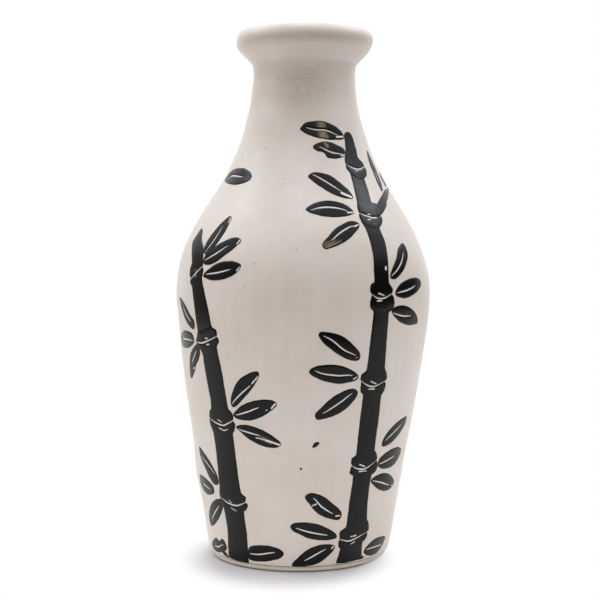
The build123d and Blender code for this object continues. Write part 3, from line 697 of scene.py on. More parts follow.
class SlipFilm:
    """The coats of slip of one piece, gathered in one mesh: sheets on the wall, then given thickness."""

    def __init__(self, settings):
        self.bm = bmesh.new()
        self.settings = settings
        self.lift = self.bm.verts.layers.float.new("lift")
        self.along = self.bm.verts.layers.float.new("along")
        self.across = self.bm.verts.layers.float.new("across")
        self.bare = self.bm.verts.layers.float.new("bare")
        # Where a painted highlight, the golden sheen of a lamp, lies on the slip
        self.painted_sheen = self.bm.verts.layers.float.new("painted_sheen")
        self.strokes = 0

    def grid(self, rows, columns):
        """Add a flat grid, and give its vertices by row and column."""
        made = bmesh.ops.create_grid(self.bm, x_segments=rows, y_segments=columns, size=1)["verts"]
        places = {}
        for vert in made:
            places[round((vert.co.x + 1) * rows / 2), round((vert.co.y + 1) * columns / 2)] = vert
        if len(places) != (rows + 1) * (columns + 1):
            raise RuntimeError("the brush grid came out in another size")
        return places

    def ragged(self, place, seed):
        """How far the brush strayed from a clean edge at a place along it."""
        return BRUSH_STRAY * noise.noise(Vector((place / BRUSH_WAVE, seed, 7.3 * self.strokes)))

    def set_vert(self, vert, sheet, point, lift, along, across, margin=0.0, bare=(), painted_sheen=(), is_cut=False):
        """Place one vertex on the wall and note what the slip does there."""
        nicks = (width * MM / 2 - stroke_distance(point, a, b) for a, b, width in bare)
        rubbed = min(max(nicks, default=UNRUBBED), margin - BLACK_RIM)
        # Painted highlight: how much of a lamp's golden sheen is painted on the slip here, fading in from the
        # black rim
        sheens = (1 - ease(stroke_distance(point, a, b), SHEEN_CORE * reach, reach) for a, b, reach in painted_sheen)
        sheen = max(sheens, default=0.0) * ease(margin, *SHEEN_RIM)
        if is_cut:
            lift, rubbed = CUT_FLOOR, CUT_BARE
        groove = 1 - NICK_DEPTH * ease(rubbed, *NICK_SLOPE)
        vert.co = sheet.wall(point, -self.settings.sink)
        vert[self.lift] = lift * groove + self.settings.sink
        vert[self.along] = along
        vert[self.across] = across + STROKE_SHIFT * self.strokes
        vert[self.bare] = rubbed / MM
        vert[self.painted_sheen] = sheen

    def edge_lift(self, distance):
        """Height of the coat at a distance from its edge, where it rounds off."""
        share = min(max(distance / self.settings.edge_round, 0.0), 1.0)
        return self.settings.coat * (EDGE_STEP + (1 - EDGE_STEP) * math.sqrt(share * (2 - share)))

    def leaf(self, sheet, base, tip, above, below, vein, bare=(), painted_sheen=()):
        """Lay one leaf from its outline, with its vein left open."""
        self.strokes += 1
        rows, side = LEAF_ROWS, LOBE_COLUMNS
        upper = even_line([base, *above, tip], rows, around=(below[0], below[-1]))
        lower = even_line([base, *below, tip], rows, around=(above[0], above[-1]))
        first, last = rows, 0
        if vein:
            middle = even_line([base, *vein, tip], rows)
            first = min(range(rows + 1), key=lambda i: (middle[i] - vein[0]).length)
            last = min(range(rows + 1), key=lambda i: (middle[i] - vein[-1]).length)
        else:
            middle = [a.lerp(b, 0.5) for a, b in zip(upper, lower)]
        length = (tip - base).length
        for row in range(1, rows):
            for edge, seed in ((upper, 0.0), (lower, 40.0)):
                out = (edge[row] - middle[row]).normalized()
                edge[row] += out * self.ragged(length * row / rows, seed)
        for (row, column), vert in self.grid(rows, 2 * side + 3).items():
            spread = upper[row] - lower[row]
            width = spread.length
            up = spread.normalized() if width > 1e-9 else Vector((0, 1))
            is_cut = first <= row <= last
            swell = 0.0
            if is_cut:
                swell = max(0.0, math.sin(math.pi * (row - first + 0.6) / (last - first + 1.2)))
            slot = self.settings.vein_width * (VEIN_END + (1 - VEIN_END) * swell**0.6)
            slot = min(slot, VEIN_MOST * width)
            above = column > side + 1
            sign = 1 if above else -1
            if column in (side + 1, side + 2):
                point = middle[row] + up * sign * (slot / 2 - min(VEIN_BANK, slot / 4))
                share, margin = 0.0, 0.5 * width
            else:
                share = (column - side - 3) / side if above else (side - column) / side
                start = middle[row] + up * sign * slot / 2
                goal = upper[row] if above else lower[row]
                point = start.lerp(goal, share)
                lobe = (goal - start).length
                margin = (1 - share) * lobe
                if is_cut:
                    margin = min(margin, share * lobe + VEIN_BANK)
                is_cut = False
            lumps = noise.noise(Vector((point.x, point.y, 0.01 * self.strokes)) * LEAF_LUMP_SCALE)
            lift = self.edge_lift(margin) * (1 + LEAF_LUMPS * lumps)
            along, across = length * row / rows, sign * share * width / 2
            self.set_vert(vert, sheet, point, lift, along, across, margin, bare, painted_sheen, is_cut)

    def line(self, sheet, middle, width):
        """Lay the thin pale bottom of a line scratched across a stalk."""
        columns = STALK_COLUMNS
        points = even_line(middle, columns)
        for (row, column), vert in self.grid(2, columns).items():
            s = column / columns
            half = width / 2 * (LINE_END + (1 - LINE_END) * math.sqrt(4 * s * (1 - s)))
            point = points[column] + Vector((0, (row - 1) * half))
            self.set_vert(vert, sheet, point, 0.0, row * MM, column * MM, is_cut=True)

    def joint(self, sheet, left, right, foot, head, bare, rings):
        """Lay one length of a stalk between its two end lines, with a raised ring at either end."""
        self.strokes += 1
        rows, columns = STALK_ROWS, STALK_COLUMNS
        sides = even_line(left, EDGE_POINTS, SIDE_SLACK), even_line(right, EDGE_POINTS, SIDE_SLACK)
        ends = even_line(foot, columns), even_line(head, columns)
        corners = sides[0][0], sides[1][0], sides[0][-1], sides[1][-1]
        length = (sides[0][-1] - sides[0][0]).length
        for sign, edge, seed in ((-1, sides[0], 0.0), (1, sides[1], 40.0)):
            for i in range(1, EDGE_POINTS):
                edge[i] = edge[i] + Vector((sign * self.ragged(length * i / EDGE_POINTS, seed), 0))
        for (row, column), vert in self.grid(rows, columns).items():
            t = row / rows
            t -= 0.55 * math.sin(2 * math.pi * t) / (2 * math.pi)
            s = column / columns
            i = round(EDGE_POINTS * t)
            point = sides[0][i] * (1 - s) + sides[1][i] * s
            point = point + ends[0][column] * (1 - t) + ends[1][column] * t
            low = corners[0] * (1 - s) + corners[1] * s
            high = corners[2] * (1 - s) + corners[3] * s
            point -= low * (1 - t) + high * t
            width = (sides[1][i] - sides[0][i]).length
            margin = min(s * width, (1 - s) * width, t * length + 0.1 * MM, (1 - t) * length + 0.1 * MM)
            lumps = noise.noise(Vector((point.x * 4, point.y * 0.3, self.strokes)) * STALK_LUMP_SCALE)
            lift = self.edge_lift(margin) * (1 + STALK_LUMPS * lumps)
            for has_ring, reach in zip(rings, (t * length, (1 - t) * length)):
                if has_ring and reach < self.settings.ring_height:
                    share = 2 * reach / self.settings.ring_height - 1
                    rise = self.settings.ring_rise * math.sqrt(1 - share**4)
                    lift += rise * min(1.0, margin / RING_ROUND)
            self.set_vert(vert, sheet, point, lift, t * length, (s - 0.5) * width, margin, bare)

    def piece(self, name, node, material):
        """Give the coats their thickness and make them the piece that stands for a CAD node."""
        bm = self.bm
        bmesh.ops.remove_doubles(bm, verts=bm.verts, dist=0.004 * MM)
        sheets = bm.verts[:] + bm.edges[:] + bm.faces[:]
        made = bmesh.ops.extrude_face_region(bm, geom=sheets, use_keep_orig=True)
        for vert in made["geom"]:
            if isinstance(vert, bmesh.types.BMVert):
                vert.co += wall_normal(bearing_of(vert.co), vert.co.z) * vert[self.lift]
        return finish_piece(bm, name, node, material)


def finish_piece(bm, name, node, material):
    """Turn a mesh into the named piece that rides with the vase and stands for a CAD node."""
    bmesh.ops.recalc_face_normals(bm, faces=bm.faces)
    for face in bm.faces:
        face.smooth = True
    for edge in bm.edges:
        edge.smooth = edge.calc_face_angle(0.0) < SHARP_EDGE
    mesh = bpy.data.meshes.new(name)
    bm.to_mesh(mesh)
    bm.free()
    mesh.materials.append(material)
    piece = bpy.data.objects.new(name, mesh)
    bpy.context.scene.collection.objects.link(piece)
    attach(piece, BODY)
    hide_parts(node)
    return piece


def add_node(tree, kind, values=None, links=None, **settings):
    """Add a node with its settings, its sockets' values and the links into it. A link comes from a socket, or
    from the first live output of a node."""
    node = tree.nodes.new(kind)
    for name, value in settings.items():
        setattr(node, name, value)
    for socket, value in (values or {}).items():
        node.inputs[socket].default_value = value
    for socket, source in (links or {}).items():
        if isinstance(source, bpy.types.Node):
            source = next(output for output in source.outputs if output.enabled)
        tree.links.new(source, node.inputs[socket])
    return node


def new_material(name):
    """Start an empty material and give its node tree with the output node."""
    material = bpy.data.materials.new(name)
    material.use_nodes = True
    tree = material.node_tree
    tree.nodes.clear()
    return material, tree, add_node(tree, "ShaderNodeOutputMaterial")


def ring_share(tree, height, shade_and_stain):
    """How much of a band of painted shade that runs around the wall shows at a height."""
    level, reach, amount = shade_and_stain
    above = add_node(tree, "ShaderNodeMath", {1: level}, {0: height}, operation="SUBTRACT")
    off = add_node(tree, "ShaderNodeMath", links={0: above}, operation="ABSOLUTE")
    return add_node(
        tree, "ShaderNodeMapRange", {"From Max": reach, "To Min": amount, "To Max": 0.0}, {"Value": off},
        interpolation_type="SMOOTHSTEP",
    )


def painted_earthenware(name, settings, rubbed=None):
    """Satin off-white paint, brushed on fired earthenware: faint upright brush marks, cloudy patches where
    the clay shows through, painted shade on the lip, on the neck (there with a yellowish stain) and in the
    seam above the foot, and a few dark specks. On the foot it is rubbed to another colour."""
    material, tree, output = new_material(name)
    place = add_node(tree, "ShaderNodeTexCoord").outputs["Object"]
    axes = add_node(tree, "ShaderNodeSeparateXYZ", links={0: place})
    depth, height = axes.outputs["Y"], axes.outputs["Z"]
    clouds = add_node(
        tree, "ShaderNodeTexNoise", {"Scale": 1 / (46 * MM), "Detail": 3.0, "Roughness": 0.55},
        {"Vector": place},
    )
    grain = add_node(tree, "ShaderNodeTexNoise", {"Scale": 1 / (1.6 * MM), "Detail": 2.0}, {"Vector": place})
    brushed = []
    for marks in (UPRIGHT_MARKS, NECK_MARKS):
        stretch = add_node(
            tree, "ShaderNodeMapping", {"Scale": [1 / length for length in marks]}, {"Vector": place}
        )
        brushed.append(add_node(
            tree, "ShaderNodeTexNoise", {"Scale": 1.0, "Detail": 4.0, "Roughness": 0.6}, {"Vector": stretch}
        ))
    neck_share = add_node(
        tree, "ShaderNodeMapRange", {"From Min": 320 * MM, "From Max": 362 * MM}, {"Value": height}
    )
    strokes = add_node(
        tree, "ShaderNodeMix", links={FACTOR: neck_share, FLOAT_A: brushed[0], FLOAT_B: brushed[1]},
        data_type="FLOAT",
    )
    specks = None
    for pixel in SPECKS:
        near = add_node(
            tree, "ShaderNodeVectorMath", {1: wall_point(*seen_on_wall(pixel))}, {0: place},
            operation="DISTANCE",
        )
        speck = add_node(
            tree, "ShaderNodeMapRange",
            {"From Min": 0.3 * MM, "From Max": 0.8 * MM, "To Min": 0.6, "To Max": 0.0}, {"Value": near},
        )
        if specks:
            speck = add_node(tree, "ShaderNodeMath", links={0: specks, 1: speck}, operation="MAXIMUM")
        specks = speck
    broken = add_node(
        tree, "ShaderNodeMapRange", {"From Min": 0.35, "From Max": 0.62, "To Min": 0.4}, {"Value": strokes}
    )
    # Painted shade: a band on the lip, full in front and weaker towards the back, and a patch on the front of
    # the neck that is painted shade with a yellowish stain in it, both broken up by the brush marks
    front = add_node(
        tree, "ShaderNodeMapRange", {"From Min": -20 * MM, "From Max": -46 * MM, "To Min": 0.3},
        {"Value": depth},
    )
    ring = ring_share(tree, height, LIP_SHADE)
    lip_shade = add_node(tree, "ShaderNodeMath", links={0: ring, 1: front}, operation="MULTIPLY")
    patch = add_node(tree, "ShaderNodeVectorMath", {1: NECK_SHADE_AND_STAIN}, {0: place}, operation="DISTANCE")
    neck_shade_and_stain = add_node(
        tree, "ShaderNodeMapRange", {"From Min": 6 * MM, "From Max": 30 * MM, "To Min": 0.42, "To Max": 0.0},
        {"Value": patch}, interpolation_type="SMOOTHSTEP",
    )
    shade_and_stain = add_node(tree, "ShaderNodeMath", links={0: lip_shade, 1: neck_shade_and_stain}, operation="MAXIMUM")
    shaded_and_stained = add_node(tree, "ShaderNodeMath", links={0: shade_and_stain, 1: broken}, operation="MULTIPLY")
    # Painted shade in the seam groove between the foot and the wall, broken up by the brush marks
    ring = ring_share(tree, height, SEAM_SHADE)
    seam_shade = add_node(tree, "ShaderNodeMath", links={0: ring, 1: broken}, operation="MULTIPLY")
    layers = [
        (specks, linear_colour(SPECK_COLOUR)),
        (shaded_and_stained, linear_colour(SHADE_AND_STAIN_COLOUR)),
        (seam_shade, linear_colour(SEAM_SHADE_COLOUR)),
    ]
    if rubbed:
        worn = add_node(
            tree, "ShaderNodeMath", {1: 2.2 * MM}, {0: clouds, 2: height}, operation="MULTIPLY_ADD"
        )
        edge = add_node(
            tree, "ShaderNodeMapRange",
            {"From Min": 0.9 * MM, "From Max": 3.2 * MM, "To Min": 0.85, "To Max": 0.0}, {"Value": worn},
        )
        layers.append((edge, rubbed))
    cloud_share = add_node(
        tree, "ShaderNodeMapRange", {"From Min": 0.38, "From Max": 0.66}, {"Value": clouds}
    )
    base = add_node(
        tree, "ShaderNodeMix", {COLOUR_A: (*settings.clay_colour, 1), COLOUR_B: (*settings.warm_colour, 1)},
        {FACTOR: cloud_share}, data_type="RGBA",
    )
    shade = add_node(
        tree, "ShaderNodeMapRange", {"From Min": 0.3, "From Max": 0.7, "To Min": 0.975, "To Max": 1.015},
        {"Value": strokes},
    )
    colour = add_node(
        tree, "ShaderNodeMix", {FACTOR: 1.0}, {COLOUR_A: base, COLOUR_B: shade}, data_type="RGBA",
        blend_type="MULTIPLY",
    )
    for share, layer in layers:
        colour = add_node(
            tree, "ShaderNodeMix", {COLOUR_B: (*layer, 1)}, {FACTOR: share, COLOUR_A: colour},
            data_type="RGBA",
        )
    satin = settings.clay_roughness
    roughness = add_node(
        tree, "ShaderNodeMapRange", {"To Min": satin - 0.05, "To Max": satin + 0.09}, {"Value": clouds}
    )
    relief = add_node(tree, "ShaderNodeMath", {1: 0.35}, {0: grain, 2: strokes}, operation="MULTIPLY_ADD")
    bump = add_node(tree, "ShaderNodeBump", {"Strength": 0.35, "Distance": 0.25 * MM}, {"Height": relief})
    shader = add_node(
        tree, "ShaderNodeBsdfPrincipled", {"IOR": 1.5},
        {"Base Color": colour, "Roughness": roughness, "Normal": bump},
    )
    tree.links.new(shader.outputs[0], output.inputs[0])
    return material


def brushed_black_slip(settings):
    """Black clay slip, brushed on thickly and fired: satin, streaked along the stroke, with a brownish painted
    highlight where a lamp's sheen lies on a few leaves, and rubbed off to the pale paint in a few nicks. All
    the canes share it."""
    name = "brushed black slip"
    if name in bpy.data.materials:
        return bpy.data.materials[name]
    material, tree, output = new_material(name)
    along, across, bare, painted_sheen = (
        add_node(tree, "ShaderNodeAttribute", attribute_name=layer).outputs["Fac"]
        for layer in ("along", "across", "bare", "painted_sheen")
    )
    place = add_node(tree, "ShaderNodeTexCoord").outputs["Object"]
    stroke = add_node(tree, "ShaderNodeCombineXYZ", links={0: along, 1: across})
    stretch = add_node(
        tree, "ShaderNodeMapping", {"Scale": (1 / (26 * MM), 1 / (1.1 * MM), 1.0)}, {"Vector": stroke}
    )
    streaks = add_node(
        tree, "ShaderNodeTexNoise", {"Scale": 1.0, "Detail": 3.0, "Roughness": 0.6}, {"Vector": stretch}
    )
    blots = add_node(tree, "ShaderNodeTexNoise", {"Scale": 1 / (5 * MM), "Detail": 3.0}, {"Vector": place})
    hairs = add_node(
        tree, "ShaderNodeMapRange", {"From Min": 0.36, "From Max": 0.64, "To Min": 0.1}, {"Value": streaks}
    )
    patchy = add_node(tree, "ShaderNodeMath", links={0: blots, 1: hairs}, operation="ADD")
    # Painted highlight: the brownish sheen of a lamp, broken up by blots and streaks
    sheen = add_node(tree, "ShaderNodeMath", links={0: painted_sheen, 1: patchy}, operation="MULTIPLY")
    sheen_share = add_node(
        tree, "ShaderNodeMapRange", {"From Min": 0.2, "From Max": 1.35, "To Max": 0.85}, {"Value": sheen},
        interpolation_type="SMOOTHSTEP",
    )
    ragged = add_node(tree, "ShaderNodeMath", {1: 0.5}, {0: blots, 2: bare}, operation="MULTIPLY_ADD")
    rubbed = add_node(tree, "ShaderNodeMapRange", {"From Min": 0.12, "From Max": 0.36}, {"Value": ragged})
    colour = add_node(
        tree, "ShaderNodeMix",
        {COLOUR_A: (*settings.slip_colour, 1), COLOUR_B: (*linear_colour(STREAK_COLOUR), 1)},
        {FACTOR: streaks}, data_type="RGBA",
    )
    for share, layer in ((sheen_share, linear_colour(SHEEN_COLOUR)), (rubbed, settings.scratch_colour)):
        colour = add_node(
            tree, "ShaderNodeMix", {COLOUR_B: (*layer, 1)}, {FACTOR: share, COLOUR_A: colour},
            data_type="RGBA",
        )
    satin = settings.slip_roughness
    roughness = add_node(
        tree, "ShaderNodeMapRange", {"To Min": satin - 0.05, "To Max": satin + 0.1}, {"Value": streaks}
    )
    bump = add_node(tree, "ShaderNodeBump", {"Strength": 0.4, "Distance": 0.2 * MM}, {"Height": streaks})
    shader = add_node(
        tree, "ShaderNodeBsdfPrincipled", {"IOR": 1.5, "Specular IOR Level": 0.23},
        {"Base Color": colour, "Roughness": roughness, "Normal": bump},
    )
    tree.links.new(shader.outputs[0], output.inputs[0])
    return material


def colour_setting(name, description, code):
    """Colour for a group of settings."""
    return FloatVectorProperty(
        name=name, description=description, subtype="COLOR", size=3, min=0, max=1, default=linear_colour(code)
    )


def length_setting(name, description, default, least=0.0):
    """Length for a group of settings."""
    return FloatProperty(name=name, description=description, default=default, min=least, unit="LENGTH")


def light_setting(name, description, default, unit="NONE"):
    """Strength of a light for a group of settings."""
    return FloatProperty(name=name, description=description, default=default, min=0, unit=unit)


class VaseSettings(bpy.types.PropertyGroup):
    """Sizes and colours of the vase's clay and slip."""

    clay_colour: colour_setting("Paint", "Off-white paint on the clay", "E0D6CB")
    warm_colour: colour_setting("Thin paint", "Paint where the clay shows through", "DACFC2")
    foot_colour: colour_setting("Bare foot", "Clay where the foot's edge is rubbed", "A39A86")
    slip_colour: colour_setting("Slip", "Black slip where it lies thick", "040404")
    scratch_colour: colour_setting("Scratches", "White ground that the scratched lines lay open", "EAE3DD")
    clay_roughness: FloatProperty(
        name="Paint roughness", description="Satin of the paint", default=0.33, min=0, max=1, subtype="FACTOR"
    )
    slip_roughness: FloatProperty(
        name="Slip roughness", description="Satin of the slip", default=0.14, min=0, max=1, subtype="FACTOR"
    )
    turns: IntProperty(
        name="Turning steps", description="Steps of a full turn of the clay", default=256, min=32, max=512
    )
    row: length_setting("Row", "Longest step along the clay's outline", 2.6 * MM, 1 * MM)
    coat: length_setting("Coat", "Thickness of the slip", 0.36 * MM, 0.1 * MM)
    sink: length_setting("Bond", "How far the slip bites into the clay", 0.06 * MM)
    edge_round: length_setting("Edge", "Width over which the slip rounds off", 0.9 * MM, 0.1 * MM)
    vein_width: length_setting("Vein", "Width of the scratched veins", 1.3 * MM, 0.2 * MM)
    line_width: length_setting("Line", "Width of the lines scratched across the stalks", 1.15 * MM, 0.2 * MM)
    ring_height: length_setting("Ring", "Height of a raised ring beside a line", 8 * MM, 1 * MM)
    ring_rise: length_setting("Ring rise", "How far a ring stands out", 0.17 * MM)


class StageSettings(bpy.types.PropertyGroup):
    """Light and floor around the vase."""

    sky_light: light_setting("Sky light", "Light from the white ceiling", 1.3)
    sky_tip: FloatProperty(
        name="Ceiling tip", description="How far the ceiling leans to the back", default=0.15
    )
    back_light: light_setting("Back light", "Light from the white backdrop", 1.0)
    left_light: light_setting("Left light", "Light from the left of the room", 0.42)
    room_light: light_setting("Room light", "Light from the dim rest of the room", 0.15)
    softbox_light: light_setting("Softboxes", "Power of each softbox over the shoulders", 2.7, "POWER")
    top_light: light_setting("Top light", "Power of the softbox over the mouth", 4.0, "POWER")
    table_front: length_setting("Table front", "How far the white table reaches to the front", 0.55, 0.2)
    floor_colour: colour_setting("Floor", "Pale floor", "F2F0EE")
    shadow_colour: colour_setting("Floor in shadow", "Floor close around the foot", "D2CECD")


class VASE_OT_clay(bpy.types.Operator):
    """Turn the five clay sections and shape them by hand"""

    bl_idname = "vase.clay"
    bl_label = "Clay sections"

    def execute(self, context):
        settings = context.scene.vase
        paint = painted_earthenware("satin paint on earthenware", settings)
        foot = painted_earthenware("rubbed paint on earthenware", settings, settings.foot_colour)
        for node in CLAY_NODES:
            bm = self.soft_outline(node, settings.row)
            bmesh.ops.spin(
                bm, geom=bm.verts[:] + bm.edges[:], cent=(0, 0, 0), axis=(0, 0, 1), angle=2 * math.pi,
                steps=settings.turns, use_merge=True,
            )
            bmesh.ops.remove_doubles(bm, verts=bm.verts, dist=0.01 * MM)
            for vert in bm.verts:
                radius, level = vert.co.xy.length, vert.co.z
                if radius > 5 * MM:
                    bearing = cad_bearing(vert.co)
                    grown = radius + hand_wobble(bearing, level) + lute(bearing, radius, level)
                    vert.co.xy *= grown / radius
                vert.co.x += lean(level)
                vert.co.z += LIP_TILT * vert.co.x * ease(level, LIP_FOOT, LIP_FOOT + 10 * MM)
            if node == "foot_slab":
                finish_piece(bm, f"clay_{node}", node, foot)
            else:
                finish_piece(bm, f"clay_{node}", node, paint)
        return {"FINISHED"}

    def soft_outline(self, node, row):
        """Half outline of a section in short steps, with its gentle bends smoothed."""
        bm = section_of(node)
        while long_edges := [edge for edge in bm.edges if edge.calc_length() > row]:
            bmesh.ops.subdivide_edges(bm, edges=long_edges, cuts=1)
        gentle = []
        for vert in bm.verts:
            if len(vert.link_edges) == 2:
                one, two = ((edge.other_vert(vert).co - vert.co) for edge in vert.link_edges)
                if one.angle(two) > GENTLE_BEND:
                    gentle.append(vert)
        for _ in range(SMOOTHINGS):
            bmesh.ops.smooth_vert(bm, verts=gentle, factor=0.5, use_axis_x=True, use_axis_z=True)
        return bm


def offset_line(line, shift):
    """Move an end line up or down the wall, less so at its two ends."""
    ends = (0, len(line) - 1)
    return [Vector((p.x, p.y + (shift * LINE_END if i in ends else shift))) for i, p in enumerate(line)]


def traced_leaf(film, leaf):
    """Lay a leaf that the photograph shows."""
    sheet = BrushSheet(*seen_on_wall(leaf.base))
    pixel = FOCAL_PIXELS / -CAMERA_PLACE.y
    film.leaf(
        sheet,
        sheet.seen(leaf.base),
        sheet.seen(leaf.tip),
        [sheet.seen(p) for p in leaf.above],
        [sheet.seen(p) for p in leaf.below],
        [sheet.seen(p) for p in leaf.vein],
        [(sheet.seen(a), sheet.seen(b), width) for a, b, width in leaf.bare],
        [(sheet.seen(a), sheet.seen(b), reach / pixel) for a, b, reach in leaf.painted_sheen],
    )


def slant(line):
    """How much longer than wide a slanting line is, by its pixels. It is scratched that much taller."""
    (x0, y0), (x1, y1) = line[0], line[-1]
    return math.hypot(x1 - x0, y1 - y0) / abs(x1 - x0)


def traced_joint(film, joint, lines, gaps):
    """Lay a length of stalk that the photograph shows, stopping half a scratched line short of each end."""
    sheet = BrushSheet(*seen_on_wall(lines[0][0]))
    left, right, foot, head = ([sheet.seen(p) for p in line] for line in (joint.left, joint.right, *lines))
    foot, head = offset_line(foot, gaps[0]), offset_line(head, -gaps[1])
    bare = [(sheet.seen(a), sheet.seen(b), width) for a, b, width in joint.bare]
    film.joint(
        sheet, [foot[0], *left, head[0]], [foot[-1], *right, head[-1]], foot, head, bare, joint.rings
    )


def plain_stalk(film, stations, line_width):
    """Lay a stalk round the back from its stations, with the same rings and lines as the front ones."""
    sag, arch = Vector((0, -LINE_SAG)), Vector((0, END_ARCH))
    for index, ((low_share, low_side), (high_share, high_side)) in enumerate(zip(stations, stations[1:])):
        low, high = (PAINT_FOOT + share * PAINT_HEIGHT for share in (low_share, high_share))
        sheet = BrushSheet(math.radians(low_side), low)
        first, last = index == 0, index == len(stations) - 2
        start = sheet.flat(math.radians(low_side), low) + Vector((0, 0.2 * MM if first else line_width / 2))
        end = sheet.flat(math.radians(high_side), high) - Vector((0, 0 if last else line_width / 2))
        half = [STALK_FOOT_WIDTH * (1 - STALK_TAPER * share) / 2 for share in (low_share, high_share)]
        run = end - start
        ring = RING_REACH / run.length
        profile = [(0.0, 1.12 if first else RING_SWELL - 0.08)]
        if not first:
            profile += [(0.35 * ring, RING_SWELL), (0.8 * ring, RING_SWELL - 0.02), (1.1 * ring, 1.03)]
        profile += [(0.5, 0.98)]
        profile += [(0.8, 0.62), (1.0, 0.06)] if last else [
            (1 - 1.1 * ring, 1.03), (1 - 0.8 * ring, RING_SWELL - 0.03), (1 - 0.35 * ring, RING_SWELL),
            (1.0, RING_SWELL - 0.1),
        ]
        left, right = (
            [
                start + run * t + Vector((sign * swell * (half[0] + (half[1] - half[0]) * t), 0))
                for t, swell in profile
            ]
            for sign in (-1, 1)
        )
        foot = [left[0], left[0].lerp(right[0], 0.5) + (arch if first else sag), right[0]]
        head = [left[-1], left[-1].lerp(right[-1], 0.5) + (arch if last else sag), right[-1]]
        ticks = []
        if not first:
            tick = foot[1] + Vector((-1.6, 2.4)) * MM, foot[1] + Vector((2.2, 1.6)) * MM, TICK_WIDTH
            ticks.append(tick)
        if not last:
            tick = head[1] + Vector((-2.0, -2.2)) * MM, head[1] + Vector((1.8, -2.0)) * MM, TICK_WIDTH
            ticks.append(tick)
        film.joint(sheet, left, right, foot, head, ticks, (not first, not last))
        if not last:
            film.line(sheet, offset_line(head, line_width / 2), line_width)


class VASE_OT_stalks(bpy.types.Operator):
    """Brush the four bamboo stalks, with their rings and scratched lines"""

    bl_idname = "vase.stalks"
    bl_label = "Stalks"

    def execute(self, context):
        settings = context.scene.vase
        slip = brushed_black_slip(settings)
        for name, lines, joints in (
            ("front_right", RIGHT_LINES, RIGHT_JOINTS),
            ("front_left", LEFT_LINES, LEFT_JOINTS),
        ):
            film = SlipFilm(settings)
            gaps = [0, *(settings.line_width / 2 * slant(line) for line in lines[1:-1]), 0]
            for index, joint in enumerate(joints):
                traced_joint(film, joint, lines[index : index + 2], gaps[index : index + 2])
            for line in lines[1:-1]:
                sheet = BrushSheet(*seen_on_wall(line[0]))
                film.line(sheet, [sheet.seen(p) for p in line], settings.line_width * slant(line))
            if name == "front_right":
                traced_leaf(film, RIGHT_BRANCH)
            film.piece(f"slip_{name}_culm", f"{name}_culm", slip)
        for name, stations in (("back_left", BACK_LEFT_STATIONS), ("back_right", BACK_RIGHT_STATIONS)):
            film = SlipFilm(settings)
            plain_stalk(film, stations, settings.line_width)
            film.piece(f"slip_{name}_culm", f"{name}_culm", slip)
        return {"FINISHED"}


def cad_leaves(node, stalk):
    """Base and tip, as bearings and levels, of each leaf in a CAD node. The base is the end nearer to the
    stalk."""
    stalk_points = [(cad_bearing(v.co), v.co.z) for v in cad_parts[stalk].data.vertices]
    bm = bmesh.new()
    bm.from_mesh(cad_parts[node].data)
    bmesh.ops.remove_doubles(bm, verts=bm.verts, dist=0.002 * MM)
    waiting = set(bm.verts)
    leaves = []
    while waiting:
        group, front = [], [min(waiting, key=lambda v: v.index)]
        waiting.remove(front[0])
        while front:
            vert = front.pop()
            group.append(vert)
            for edge in vert.link_edges:
                other = edge.other_vert(vert)
                if other in waiting:
                    waiting.remove(other)
                    front.append(other)
        start = max(group, key=lambda v: (v.co - group[0].co).length_squared)
        end = max(group, key=lambda v: (v.co - start.co).length_squared)

        def from_stalk(vert):
            side = cad_bearing(vert.co)
            return min(
                (BELLY_REACH * math.remainder(side - b, 2 * math.pi)) ** 2 + (vert.co.z - z) ** 2
                for b, z in stalk_points
            )

        base, tip = sorted((start, end), key=from_stalk)
        leaves.append(((cad_bearing(base.co), base.co.z), (cad_bearing(tip.co), tip.co.z)))
    bm.free()
    leaves.sort(key=lambda leaf: (-leaf[0][1], leaf[0][0]))
    return leaves


def plain_leaf(film, base, tip, index):
    """Lay a leaf round the back between its two ends, each with its own bow and fullness."""
    sheet = BrushSheet(*base)
    start, end = sheet.flat(*base), sheet.flat(*tip)
    run = end - start
    up = Vector((-run.y, run.x)).normalized()
    bow = LEAF_BOW * noise.noise(Vector((index * 3.7, base[1] * 40, 0.5)))
    full = LEAF_HALF_WIDTH * (1 + 0.12 * noise.noise(Vector((index * 1.9, 2.5, base[0] * 3))))

    def edge(sign):
        return [
            start + run * t + up * (sign * full * width + bow * math.sin(math.pi * t))
            for t, width in LEAF_SHARES
        ]

    vein = [
        start + run * t + up * bow * (0.4 + math.sin(math.pi * t))
        for t in (0.12, 0.45, 0.6 + 0.2 * (index % 3) / 2)
    ]
    bare = []
    if index % 3 == 0:
        bare.append((start + run * 0.86 - up * 1.2 * MM, start + run * 0.94 + up * 0.6 * MM, 1.4))
    film.leaf(sheet, start, end, edge(1), edge(-1), vein, bare)


